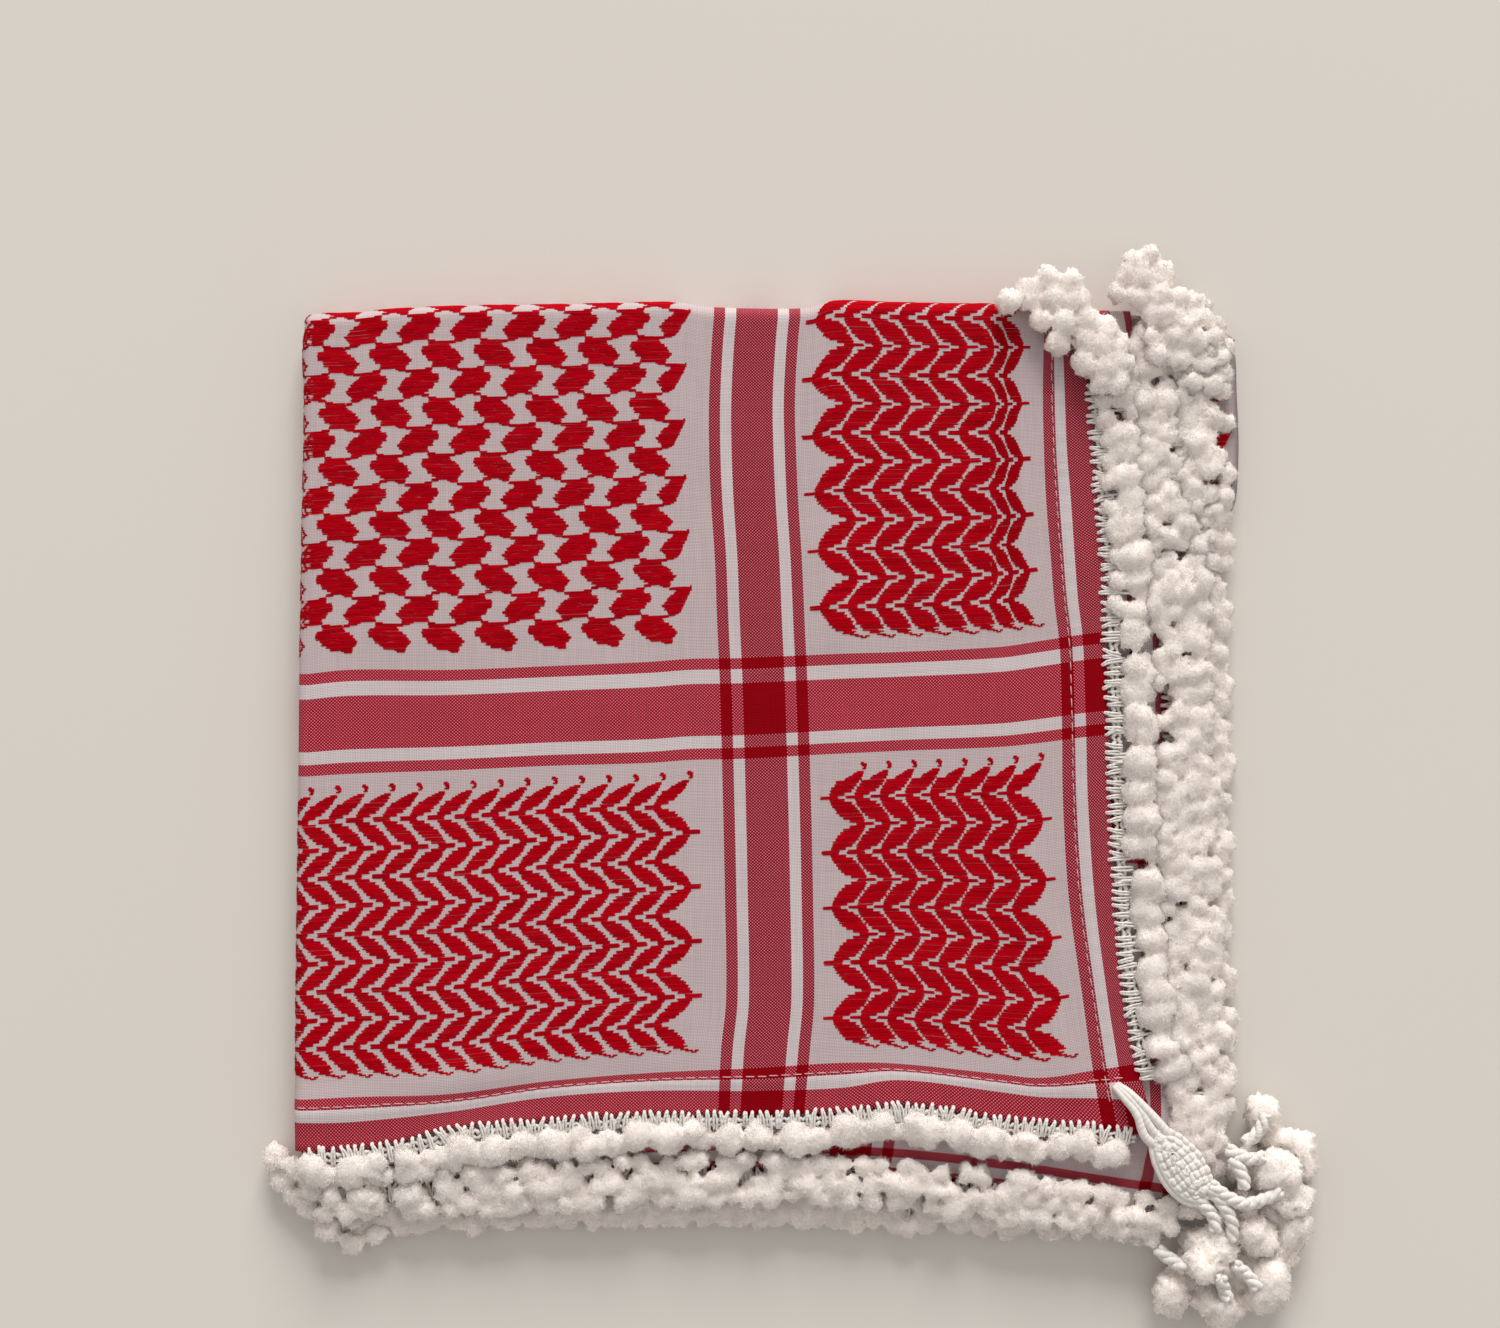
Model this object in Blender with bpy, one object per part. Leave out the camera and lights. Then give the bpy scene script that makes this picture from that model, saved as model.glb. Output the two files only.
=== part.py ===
"""Folded square cotton headscarf with a pompom fringe, lying flat.

All sizes are in millimetres.  X runs to the right, Y away from the wearer's
side, Z up from the table.  The cloth is folded in half four times, so all
four hemmed corners meet at the lower right and the folds are at the left and
along the top.
"""

import math
import random
from collections import namedtuple

import bmesh
import bpy
from mathutils import Vector

MM = 0.001
SEED = 1931

# Cloth and folded stack
CLOTH_WALL = 1.0
HEM_EXTRA = 0.4
HEM_WIDTH = 8.6
GAP = 0.35
STACK = 15.5
EDGE_SAG = 0.8
LOBE_RADIUS = 3.95
BACK_RADIUS = 7.55
LOBE_TURN = math.radians(168.0)
BACK_TURN = math.radians(176.0)
TURN_ROWS = 5
TOP_COLUMNS = 20
TOP_ROWS = 20

# Second layer, seen as a strip beyond the top one
SECOND_TOP = 12.6
SECOND_REACH = 24.0
SECOND_FALL = 4.0
SECOND_TUCK = 10.0
SECOND_BANDS = 5

# Hidden layers
CORE_PLATEAU = 13.2
CORE_STATIONS = 16
ROLL_ANGLES = (28.0, 56.0, 84.0, 112.0, 140.0, 168.0)
SHOULDER = (130.4, 140.6)
LEDGE_ENDS = ((167.0, 153.0), (176.0, 152.4), (188.0, 150.2), (197.0, 147.0), (200.8, 141.8))
LEDGE_START = 185.0
LEDGE_SLOPE = 0.10

# Fringe
STRIP_DEPTH = 1.8
STRIP_HEIGHT = 1.5
SWAY = 2.0
POMPOM_WIDTH = 7.9
FAN_WIDTH = 7.1
POMPOM_HEIGHT = 7.7
NECK = 1.7
LONG_REACH = 14.9

EdgePoint = namedtuple("EdgePoint", "along offset")
Crease = namedtuple("Crease", "x0 y0 x1 y1 width height")
WallRow = namedtuple("WallRow", "out z")
Row = namedtuple("Row", "name edge start end locks gap z short long rise height")
Fan = namedtuple("Fan", "name x y radius start end locks z short long rise")
Ball = namedtuple("Ball", "x y z radius bend")

LEFT_FOLD = (
    EdgePoint(along=-161.0, offset=-152.6),
    EdgePoint(along=-67.5, offset=-151.8),
    EdgePoint(along=26.0, offset=-150.8),
    EdgePoint(along=120.0, offset=-149.4),
    EdgePoint(along=158.0, offset=-149.8),
)
TOP_FOLD = (
    EdgePoint(along=-152.0, offset=155.2),
    EdgePoint(along=-112.0, offset=156.4),
    EdgePoint(along=-15.0, offset=157.4),
    EdgePoint(along=22.0, offset=155.8),
    EdgePoint(along=48.0, offset=158.0),
    EdgePoint(along=112.0, offset=156.8),
    EdgePoint(along=170.0, offset=156.4),
)
RIGHT_EDGE = (
    EdgePoint(along=-154.0, offset=168.0),
    EdgePoint(along=-135.0, offset=163.5),
    EdgePoint(along=-105.0, offset=157.5),
    EdgePoint(along=-67.5, offset=154.5),
    EdgePoint(along=-30.0, offset=152.3),
    EdgePoint(along=45.0, offset=150.2),
    EdgePoint(along=82.0, offset=147.4),
    EdgePoint(along=120.0, offset=144.8),
    EdgePoint(along=158.0, offset=143.4),
)
BOTTOM_EDGE = (
    EdgePoint(along=-153.0, offset=-160.2),
    EdgePoint(along=-131.0, offset=-159.4),
    EdgePoint(along=-94.0, offset=-152.0),
    EdgePoint(along=-56.0, offset=-148.6),
    EdgePoint(along=-19.0, offset=-146.8),
    EdgePoint(along=45.0, offset=-146.4),
    EdgePoint(along=75.0, offset=-142.6),
    EdgePoint(along=112.0, offset=-148.2),
    EdgePoint(along=150.0, offset=-150.0),
    EdgePoint(along=168.0, offset=-154.0),
)
SECOND_RIGHT = (
    EdgePoint(along=-186.0, offset=176.0),
    EdgePoint(along=-150.0, offset=181.0),
    EdgePoint(along=-105.0, offset=178.5),
    EdgePoint(along=-30.0, offset=175.5),
    EdgePoint(along=60.0, offset=171.5),
    EdgePoint(along=120.0, offset=166.5),
    EdgePoint(along=158.0, offset=161.5),
)
SECOND_BOTTOM = (
    EdgePoint(along=-153.0, offset=-174.5),
    EdgePoint(along=-100.0, offset=-173.6),
    EdgePoint(along=0.0, offset=-168.4),
    EdgePoint(along=67.0, offset=-170.6),
    EdgePoint(along=120.0, offset=-176.2),
    EdgePoint(along=150.0, offset=-181.0),
    EdgePoint(along=178.0, offset=-185.0),
)
CORE_RIGHT = (
    EdgePoint(along=-180.0, offset=184.0),
    EdgePoint(along=-100.0, offset=185.0),
    EdgePoint(along=30.0, offset=184.5),
    EdgePoint(along=62.0, offset=186.0),
    EdgePoint(along=80.0, offset=200.2),
    EdgePoint(along=141.0, offset=200.6),
)
CORE_BOTTOM = (
    EdgePoint(along=-153.0, offset=-176.8),
    EdgePoint(along=-60.0, offset=-176.0),
    EdgePoint(along=40.0, offset=-175.0),
    EdgePoint(along=110.0, offset=-178.0),
    EdgePoint(along=184.0, offset=-180.0),
)

# Soft uneven ridges (+) and troughs (-) of the top cloth
CREASES = (
    Crease(x0=107, y0=158, x1=116, y1=95, width=5.5, height=1.3),
    Crease(x0=116, y0=95, x1=111, y1=34, width=6.5, height=0.9),
    Crease(x0=122, y0=150, x1=124, y1=60, width=5.0, height=-0.7),
    Crease(x0=50, y0=62, x1=58, y1=-28, width=11.0, height=0.8),
    Crease(x0=82, y0=44, x1=76, y1=-20, width=9.0, height=-0.6),
    Crease(x0=104, y0=40, x1=112, y1=-24, width=10.0, height=0.7),
    Crease(x0=-150, y0=-148, x1=-70, y1=-132, width=9.0, height=0.9),
    Crease(x0=-96, y0=-150, x1=-30, y1=-136, width=7.0, height=-0.5),
    Crease(x0=60, y0=-142, x1=92, y1=-142, width=9.0, height=1.2),
    Crease(x0=-110, y0=150, x1=-96, y1=40, width=12.0, height=0.5),
    Crease(x0=-40, y0=-30, x1=-52, y1=-120, width=13.0, height=0.5),
    Crease(x0=118, y0=-36, x1=140, y1=-140, width=8.0, height=0.8),
)

# Walls of the hidden layers, outwards from the hemmed edge's own wall line
LAYERED_WALL = (
    WallRow(out=-1.6, z=6.4),
    WallRow(out=0.0, z=5.7),
    WallRow(out=-1.3, z=4.7),
    WallRow(out=0.2, z=3.9),
    WallRow(out=-1.1, z=2.9),
    WallRow(out=0.0, z=2.0),
    WallRow(out=-1.2, z=0.0),
)
LOBE_WALL = (
    WallRow(out=-4.4, z=7.25),
    WallRow(out=-1.6, z=6.8),
    WallRow(out=-0.2, z=5.2),
    WallRow(out=0.0, z=3.7),
    WallRow(out=-0.3, z=2.1),
    WallRow(out=-1.2, z=0.8),
    WallRow(out=-3.2, z=0.0),
)

ROWS = (
    Row("fringe_right_top", "right", -126, 134, 30, 0.4, 13.9, 8.4, 12.6, 2.1, 7.8),
    Row("fringe_right_second", "second_right", -152, 60, 24, 0.3, 8.3, 7.2, 11.6, 3.3, 7.6),
    Row("fringe_right_upper", "second_right", 66, 148, 9, 0.3, 8.4, 5.4, 6.2, 3.3, 7.6),
    Row("fringe_right_floor", "core_right", -134, 48, 20, 0.6, 3.0, 10.6, 15.0, 1.0, 6.6),
    Row("fringe_right_ledge", "ledge", 68, 144, 8, 0.0, 8.4, 4.4, 7.2, 3.1, 7.6),
    Row("fringe_bottom_top", "bottom", -142, 142, 32, 0.8, 13.9, 8.4, 12.8, 2.1, 7.8),
    Row("fringe_bottom_second", "second_bottom", -140, 150, 33, 0.3, 8.3, 7.0, 11.4, 3.3, 7.6),
    Row("fringe_bottom_floor", "core_bottom", -140, 158, 33, 0.6, 3.0, 10.4, 15.6, 1.0, 6.6),
)
FANS = (
    Fan("fringe_top_turn_left", 150, 139, 11.0, 100, 190, 6, 17.0, 7.0, 15.0, 3.4),
    Fan("fringe_top_turn_upper", 166, 150, 10.5, 22, 132, 5, 13.2, 7.6, 11.6, 1.2),
    Fan("fringe_top_turn_lower", 173, 151, 9.5, 10, 94, 3, 4.2, 8.6, 11.6, 0.6),
    Fan("fringe_left_turn", -144, -168, 9.4, 166, 268, 3, 4.6, 4.4, 6.4, 1.0),
)

# Crocheted tab at the corner and the pompoms on its braided chains
TAB_CENTRE = (178.6, -170.2)
TAB_ANGLE = math.radians(-51.5)
TAB_LENGTH = 34.0
TAB_WIDTH = 16.0
TAB_THICKNESS = 3.4
TAB_Z = 17.6
CHAIN = 2.0
LOOP_POINTS = ((163.6, -145.6, 17.4), (159.4, -138.4, 17.2), (156.8, -133.0, 16.9))
TAB_SPREAD = (48.0, 14.0, -24.0)
TAB_BALLS = (
    Ball(x=217.4, y=-169.4, z=14.4, radius=9.6, bend=0.0),
    Ball(x=208.6, y=-193.6, z=13.2, radius=8.0, bend=0.0),
    Ball(x=190.4, y=-200.6, z=14.6, radius=10.0, bend=0.0),
)
LOW_BALLS = (
    Ball(x=212.4, y=-147.4, z=10.0, radius=8.3, bend=0.0),
    Ball(x=230.6, y=-154.4, z=6.6, radius=5.6, bend=4.0),
    Ball(x=224.6, y=-190.4, z=8.0, radius=7.4, bend=1.0),
    Ball(x=214.0, y=-212.4, z=9.4, radius=8.8, bend=-2.0),
    Ball(x=195.4, y=-221.8, z=9.2, radius=8.6, bend=-3.0),
    Ball(x=177.6, y=-215.0, z=7.8, radius=7.2, bend=-5.0),
)


def clear_file():
    """Remove every object from the file."""
    for thing in list(bpy.data.objects):
        bpy.data.objects.remove(thing, do_unlink=True)


def spline(table, at):
    """Smooth offset of an edge table at a position along it."""
    rows = sorted(table)
    if at <= rows[0].along:
        return rows[0].offset
    if at >= rows[-1].along:
        return rows[-1].offset
    index = max(i for i, row in enumerate(rows) if row.along <= at)
    left, right = rows[index], rows[index + 1]
    before = rows[max(index - 1, 0)]
    after = rows[min(index + 2, len(rows) - 1)]
    span = right.along - left.along
    t = (at - left.along) / span
    slope_left = (right.offset - before.offset) / (right.along - before.along) * span
    slope_right = (after.offset - left.offset) / (after.along - left.along) * span
    cubic = (2 * t ** 3 - 3 * t ** 2 + 1) * left.offset + (t ** 3 - 2 * t ** 2 + t) * slope_left
    return cubic + (3 * t ** 2 - 2 * t ** 3) * right.offset + (t ** 3 - t ** 2) * slope_right


def smooth(value):
    """Smooth step of a value clamped to 0..1."""
    value = min(max(value, 0.0), 1.0)
    return value * value * (3.0 - 2.0 * value)


def crease_height(x, y):
    """Sum of the soft ridges and troughs at a point of the top cloth."""
    total = 0.0
    for crease in CREASES:
        run = Vector((crease.x1 - crease.x0, crease.y1 - crease.y0))
        rel = Vector((x - crease.x0, y - crease.y0))
        t = rel.dot(run) / run.length_squared
        nearest = run * min(max(t, 0.0), 1.0)
        distance = (rel - nearest).length
        total += crease.height * math.exp(-(distance / crease.width) ** 2)
    return total


def drape(x, y):
    """Height of the top cloth's face."""
    right = spline(RIGHT_EDGE, y) - x
    bottom = y - spline(BOTTOM_EDGE, x)
    sag = EDGE_SAG * (1.0 - smooth(min(right, bottom) / 16.0))
    inner = smooth(min(right, bottom) / 14.0)
    return STACK - sag + crease_height(x, y) * (0.35 + 0.65 * inner)


def hem(x, y):
    """Share of the hem's extra thickness at a point."""
    edge = min(spline(RIGHT_EDGE, y) - x, y - spline(BOTTOM_EDGE, x))
    return 1.0 if edge < HEM_WIDTH else 0.0


def second_height(x, y):
    """Height of the second layer's face beyond and under the top one."""
    past = max(x - spline(RIGHT_EDGE, y), spline(BOTTOM_EDGE, x) - y, 0.0)
    share = min(past / SECOND_REACH, 1.0)
    return SECOND_TOP - SECOND_FALL * share ** 1.5


def material(name, colour, roughness):
    """Principled material with one plain colour."""
    made = bpy.data.materials.new(name)
    made.use_nodes = True
    shader = made.node_tree.nodes["Principled BSDF"]
    shader.inputs["Base Color"].default_value = (*colour, 1.0)
    shader.inputs["Roughness"].default_value = roughness
    return made


def solid(name, vertices, faces, finish):
    """Object from millimetre points and faces, turned outwards."""
    mesh = bpy.data.meshes.new(name)
    mesh.from_pydata([Vector(v) * MM for v in vertices], [], faces)
    shape = bmesh.new()
    shape.from_mesh(mesh)
    bmesh.ops.recalc_face_normals(shape, faces=shape.faces)
    if shape.calc_volume(signed=True) < 0.0:
        bmesh.ops.reverse_faces(shape, faces=shape.faces)
    shape.to_mesh(mesh)
    shape.free()
    mesh.materials.append(finish)
    thing = bpy.data.objects.new(name, mesh)
    bpy.context.scene.collection.objects.link(thing)
    return thing


def sheet_solid(name, upper, lower, loops, finish):
    """Closed sheet from matching upper and lower points.

    upper and lower are equal lists of points and loops the faces of one side.
    """
    count = len(upper)
    faces = [tuple(loop) for loop in loops]
    faces += [tuple(index + count for index in reversed(loop)) for loop in loops]
    used = {}
    for loop in loops:
        for a, b in zip(loop, loop[1:] + loop[:1]):
            used[(a, b)] = True
    for a, b in used:
        if (b, a) not in used:
            faces.append((b, a, a + count, b + count))
    return solid(name, upper + lower, faces, finish)


def spaced(count, near_end):
    """Shares 0..1 with two lines for the hem's step close to the end."""
    inner = [i / count * (1.0 - near_end * 1.35) for i in range(count + 1)]
    return inner + [1.0 - near_end * 1.04, 1.0 - near_end * 0.96, 1.0]


def plate_point(s, t):
    """Plan point of the top cloth, s from left to right, t from top down."""
    y = 156.0 - 305.0 * t
    x = -146.0 + 296.0 * s
    for _ in range(4):
        left = spline(LEFT_FOLD, y) + LOBE_RADIUS
        right = spline(RIGHT_EDGE, y)
        top = spline(TOP_FOLD, x) - BACK_RADIUS
        bottom = spline(BOTTOM_EDGE, x)
        x = left + (right - left) * s
        y = top + (bottom - top) * t
    return x, y


def build_top_cloth(finish):
    """Top layer: flat face with hem, rolled over the left and upper folds."""
    columns = spaced(TOP_COLUMNS, HEM_WIDTH / 300.0)
    rows = [0.0, 0.013] + spaced(TOP_ROWS, HEM_WIDTH / 300.0)[1:]
    upper, lower, loops, grid = [], [], [], {}

    def add(x, y, top, wall):
        upper.append((x, y, top))
        lower.append((x, y, top - wall))
        return len(upper) - 1

    for i, s in enumerate(columns):
        for j, t in enumerate(rows):
            x, y = plate_point(s, t)
            thick = CLOTH_WALL + HEM_EXTRA * hem(x, y)
            grid[i, j] = add(x, y, drape(x, y) + 0.5 * (thick - CLOTH_WALL), thick)
    last_i, last_j = len(columns) - 1, len(rows) - 1
    for i in range(last_i):
        for j in range(last_j):
            loops.append([grid[i, j], grid[i, j + 1], grid[i + 1, j + 1], grid[i + 1, j]])

    stations = [(grid[0, j], math.pi, 0.0) for j in range(last_j, 0, -1)]
    stations += [(grid[0, 0], math.radians(a), 1.0) for a in (180.0, 150.0, 120.0, 90.0)]
    stations += [(grid[i, 0], math.pi / 2, 1.0) for i in range(1, last_i + 1)]
    rolls = []
    for index, (base, heading, full) in enumerate(stations):
        x, y, top = upper[base]
        turn_out = math.degrees(heading) > 91.0
        out = LOBE_RADIUS if turn_out else BACK_RADIUS
        if full and turn_out:
            out += (BACK_RADIUS - LOBE_RADIUS) * (math.pi - heading) / (math.pi / 2)
        deep = BACK_RADIUS if full else LOBE_RADIUS
        scale = (top - 0.55) / (2 * BACK_RADIUS) if full else 1.0
        turn = BACK_TURN if full else LOBE_TURN
        chain = [base]
        for row in range(1, TURN_ROWS + 1):
            angle = turn * row / TURN_ROWS
            reach, drop = math.sin(angle), 1.0 - math.cos(angle)
            outer = (x + math.cos(heading) * out * reach, y + math.sin(heading) * out * reach,
                     top - deep * scale * drop)
            wall = CLOTH_WALL
            inner = (x + math.cos(heading) * (out - wall) * reach,
                     y + math.sin(heading) * (out - wall) * reach,
                     top - wall - (deep * scale - wall) * drop)
            upper.append(outer)
            lower.append(inner)
            chain.append(len(upper) - 1)
        rolls.append(chain)
    for before, after in zip(rolls, rolls[1:]):
        for row in range(TURN_ROWS):
            loop = [before[row], after[row], after[row + 1], before[row + 1]]
            loop = [v for k, v in enumerate(loop) if v != loop[k - 1]]
            loops.append(loop)
    return sheet_solid("cloth_top", upper, lower, loops, finish)


def build_second_cloth(finish):
    """Second layer: an L along the right and lower sides, rolled at the top."""
    inner_path, outer_path, lifts = [], [], []
    roll = BACK_RADIUS - CLOTH_WALL - 0.5
    steps = 5
    for k in range(steps, 0, -1):
        angle = BACK_TURN * k / steps
        for path, x in ((inner_path, 134.0), (outer_path, spline(SECOND_RIGHT, 150.0))):
            top = spline(TOP_FOLD, x) - BACK_RADIUS
            path.append((x, top + roll * math.sin(angle)))
        lifts.append((1.0 - math.cos(angle)) / 2.0)
    count = 17
    for k in range(count + 1):
        t = k / count
        y_in = 149.0 + (-136.0 - 149.0) * t
        y_out = 149.0 + (-180.0 - 149.0) * t
        inner_path.append((spline(RIGHT_EDGE, y_in) - SECOND_TUCK, y_in))
        outer_path.append((spline(SECOND_RIGHT, y_out), y_out))
        lifts.append(0.0)
    inner_path.append((spline(RIGHT_EDGE, -136.0) - SECOND_TUCK - 3.0, -139.5))
    outer_path.append((173.0, spline(SECOND_BOTTOM, 173.0)))
    lifts.append(0.0)
    for k in range(count + 1):
        t = k / count
        x_in = 142.0 + (-147.0 - 142.0) * t
        x_out = 166.0 + (-148.5 - 166.0) * t
        inner_path.append((x_in, spline(BOTTOM_EDGE, x_in) + SECOND_TUCK))
        outer_path.append((x_out, spline(SECOND_BOTTOM, x_out)))
        lifts.append(0.0)
    upper, lower, loops = [], [], []
    for (x0, y0), (x1, y1), lift in zip(inner_path, outer_path, lifts):
        for band in range(SECOND_BANDS + 1):
            share = band / SECOND_BANDS
            x, y = x0 + (x1 - x0) * share, y0 + (y1 - y0) * share
            top = second_height(x, min(y, 148.0))
            floor = 2.3
            upper.append((x, y, top - (top - floor) * lift))
            inward = CLOTH_WALL * (1.0 - 2.0 * lift)
            pull = CLOTH_WALL * 2.0 * math.sqrt(max(lift * (1.0 - lift), 0.0))
            lower.append((x, y - pull, upper[-1][2] - inward))
    stride = SECOND_BANDS + 1
    for k in range(len(lifts) - 1):
        for band in range(SECOND_BANDS):
            a = k * stride + band
            loops.append([a, a + 1, a + 1 + stride, a + stride])
    return sheet_solid("cloth_second", upper, lower, loops, finish)


def core_station(side, at):
    """One upright section of the hidden layers at its right, lower or left side."""
    if side == "right":
        edge, wall = spline(RIGHT_EDGE, at), spline(CORE_RIGHT, at)
        line = [(edge - 14.0, CORE_PLATEAU), (edge - 12.0, 11.2), (edge, 11.2), (edge + 14.0, 7.6)]
        line += [(wall + row.out, row.z) for row in LAYERED_WALL]
        return [(x, at, z) for x, z in line]
    if side == "bottom":
        edge, wall = spline(BOTTOM_EDGE, at), spline(CORE_BOTTOM, at)
        line = [(edge + 14.0, CORE_PLATEAU), (edge + 12.0, 11.2), (edge, 11.2), (edge - 14.0, 7.6)]
        line += [(wall - row.out, row.z) for row in LAYERED_WALL]
        return [(at, y, z) for y, z in line]
    if side == "left":
        fold = spline(LEFT_FOLD, at)
        line = [(fold + 9.0, CORE_PLATEAU), (fold + 4.6, CORE_PLATEAU - 0.1)]
        line += [(fold + 2.2, 11.6), (fold + 4.8, 9.6)]
        line += [(fold - row.out, row.z) for row in LOBE_WALL]
        return [(x, at, z) for x, z in line]
    return top_section(at)


def top_section(at):
    """Upright section of the hidden layers under the upper fold."""
    axis = spline(TOP_FOLD, at) - BACK_RADIUS
    line = [(axis - 8.0, CORE_PLATEAU), (axis - 5.0, CORE_PLATEAU), (axis - 1.5, CORE_PLATEAU)]
    for degrees in ROLL_ANGLES:
        turn = math.radians(degrees)
        line.append((axis + 4.2 * math.sin(turn), 7.65 + 5.55 * math.cos(turn)))
    line += [(axis - 0.6, 2.1), (axis - 0.8, 0.0)]
    return [(at, y, z) for y, z in line]


def shoulder_section(at):
    """Section that falls from the plateau's corner to the second layer's roll."""
    axis = spline(TOP_FOLD, at) - BACK_RADIUS
    lid = second_height(at, 148.0) - CLOTH_WALL - 0.45
    start = Vector(SHOULDER)
    away = (Vector((at, axis + 4.4)) - start).normalized()
    reach = (Vector((at, axis + 4.4)) - start).length
    line = [(*(start + away * 0.6), CORE_PLATEAU), (*(start + away * 3.0), 11.1)]
    line.append((*(start + away * reach * 0.48), 10.9 + (lid - 10.9) * 0.5))
    for degrees in ROLL_ANGLES:
        turn = math.radians(degrees)
        high = (lid + 3.8) / 2 + (lid - 3.8) / 2 * math.cos(turn)
        line.append((at, axis + 4.5 * math.sin(turn), high))
    return line + [(at, axis - 0.6, 3.8), (at, axis - 0.8, 0.0)]


def ledge_section(end):
    """Section that falls from the plateau's corner to the ledge of lower folds."""
    start = Vector(SHOULDER)
    away = (Vector(end) - start).normalized()
    reach = (Vector(end) - start).length
    line = [(*(start + away * 0.6), CORE_PLATEAU), (*(start + away * 3.0), 11.1)]
    line += [(*(start + away * reach * 0.48), 7.3), (*(start + away * (reach - 2.6)), 6.5)]
    for out, z in ((-1.0, 6.1), (-0.2, 5.0), (0.0, 3.9), (-0.2, 2.8), (-0.9, 1.5), (-1.6, 0.8)):
        line.append((*(start + away * (reach + out)), z))
    return line + [(*(start + away * (reach - 2.6)), 0.0)]


def corner_section(at):
    """Section of the hidden layers inside the upper left corner."""
    axis = spline(LEFT_FOLD, at) + LOBE_RADIUS
    line = [(axis + 5.0, CORE_PLATEAU), (axis + 1.5, CORE_PLATEAU - 0.05), (axis - 1.2, 12.2),
            (axis - 0.6, 10.4), (axis + 0.9, 8.8), (axis + 1.2, 7.6), (axis + 1.2, 6.2),
            (axis + 1.2, 5.0), (axis + 1.2, 3.6), (axis + 1.2, 2.2), (axis + 1.4, 0.0)]
    return [(x, at, z) for x, z in line]


def build_core(finish):
    """Hidden layers as one rounded solid, layered at its open edges."""
    sections = []
    for k in range(14):
        sections.append(top_section(-138.0 + (130.0 + 138.0) * k / 13))
    sections += [shoulder_section(at) for at in (133.6, 142.0, 152.0, 163.6)]
    sections += [ledge_section(end) for end in LEDGE_ENDS]
    sections.append(core_station("right", 137.0))
    for at in (124.0, 108.0, 92.0, 80.0, 71.0, 62.0, 48.0, 30.0, 8.0, -14.0, -36.0, -58.0,
               -80.0, -100.0, -118.0, -132.0):
        sections.append(core_station("right", at))
    right_end, bottom_start = core_station("right", -138.0), core_station("bottom", 148.0)
    corner = []
    for k, (p, q) in enumerate(zip(right_end, bottom_start)):
        if k > 3:
            corner.append((p[0] - 1.5, q[1] + 1.0, p[2]))
        else:
            corner.append(((p[0] + q[0]) / 2, (p[1] + q[1]) / 2, p[2]))
    sections.append(corner)
    for k in range(CORE_STATIONS):
        sections.append(core_station("bottom", 146.0 - (146.0 + 134.0) * k / (CORE_STATIONS - 1)))
    bottom_end, left_start = core_station("bottom", -140.0), core_station("left", -150.0)
    turned = []
    for k, (p, q) in enumerate(zip(bottom_end, left_start)):
        inset = 3.2 if k > 3 else 0.6
        turned.append((q[0] + inset, p[1] + inset * 1.2, min(p[2], q[2])))
    sections.append(turned)
    for k in range(CORE_STATIONS):
        at = -146.0 + (141.0 + 146.0) * k / (CORE_STATIONS - 1)
        sections.append(core_station("left", at))
    sections.append(corner_section(144.6))
    rows = len(sections[0])
    vertices = [point for section in sections for point in section]
    faces = []
    count = len(sections)
    for k in range(count):
        n = (k + 1) % count
        for row in range(rows - 1):
            faces.append((k * rows + row, n * rows + row, n * rows + row + 1, k * rows + row + 1))
    faces.append(tuple(k * rows for k in range(count)))
    faces.append(tuple(k * rows + rows - 1 for k in reversed(range(count))))
    return solid("hidden_layers", vertices, faces, finish)


def edge_point(edge, at, gap):
    """Point and outward heading on one of the fringed edges."""
    tables = {"right": RIGHT_EDGE, "second_right": SECOND_RIGHT, "core_right": CORE_RIGHT,
              "bottom": BOTTOM_EDGE, "second_bottom": SECOND_BOTTOM, "core_bottom": CORE_BOTTOM}
    if edge == "ledge":
        return Vector((LEDGE_START - LEDGE_SLOPE * (at - 68.0), at)), LEDGE_SLOPE
    table = tables[edge]
    value = spline(table, at)
    tilt = (spline(table, at + 1.0) - spline(table, at - 1.0)) / 2.0
    if "right" in edge:
        return Vector((value + gap, at)), math.atan(-tilt) * 0.6
    return Vector((at, value - gap)), -math.pi / 2 + math.atan(tilt) * 0.4


def add_lock(vertices, faces, root, centres, sizes):
    """Four-sided lock from a root ring through rings to one end point.

    root holds four vertex numbers, centres the points of the line, sizes the
    half width and half height at each of them but the last.
    """
    ring = list(root)
    for index, (half_wide, half_high) in enumerate(sizes):
        here, after = centres[index], centres[index + 1]
        heading = (after - here).xy.normalized()
        side = Vector((-heading.y, heading.x, 0.0))
        up = Vector((0.0, 0.0, 1.0))
        start = len(vertices)
        for across, high in ((-1, -1), (1, -1), (1, 1), (-1, 1)):
            vertices.append(tuple(here + side * (across * half_wide) + up * (high * half_high)))
        new = list(range(start, start + 4))
        for k in range(4):
            faces.append((ring[k], ring[(k + 1) % 4], new[(k + 1) % 4], new[k]))
        ring = new
    vertices.append(tuple(centres[-1]))
    tip = len(vertices) - 1
    for k in range(4):
        faces.append((ring[k], ring[(k + 1) % 4], tip))


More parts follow.
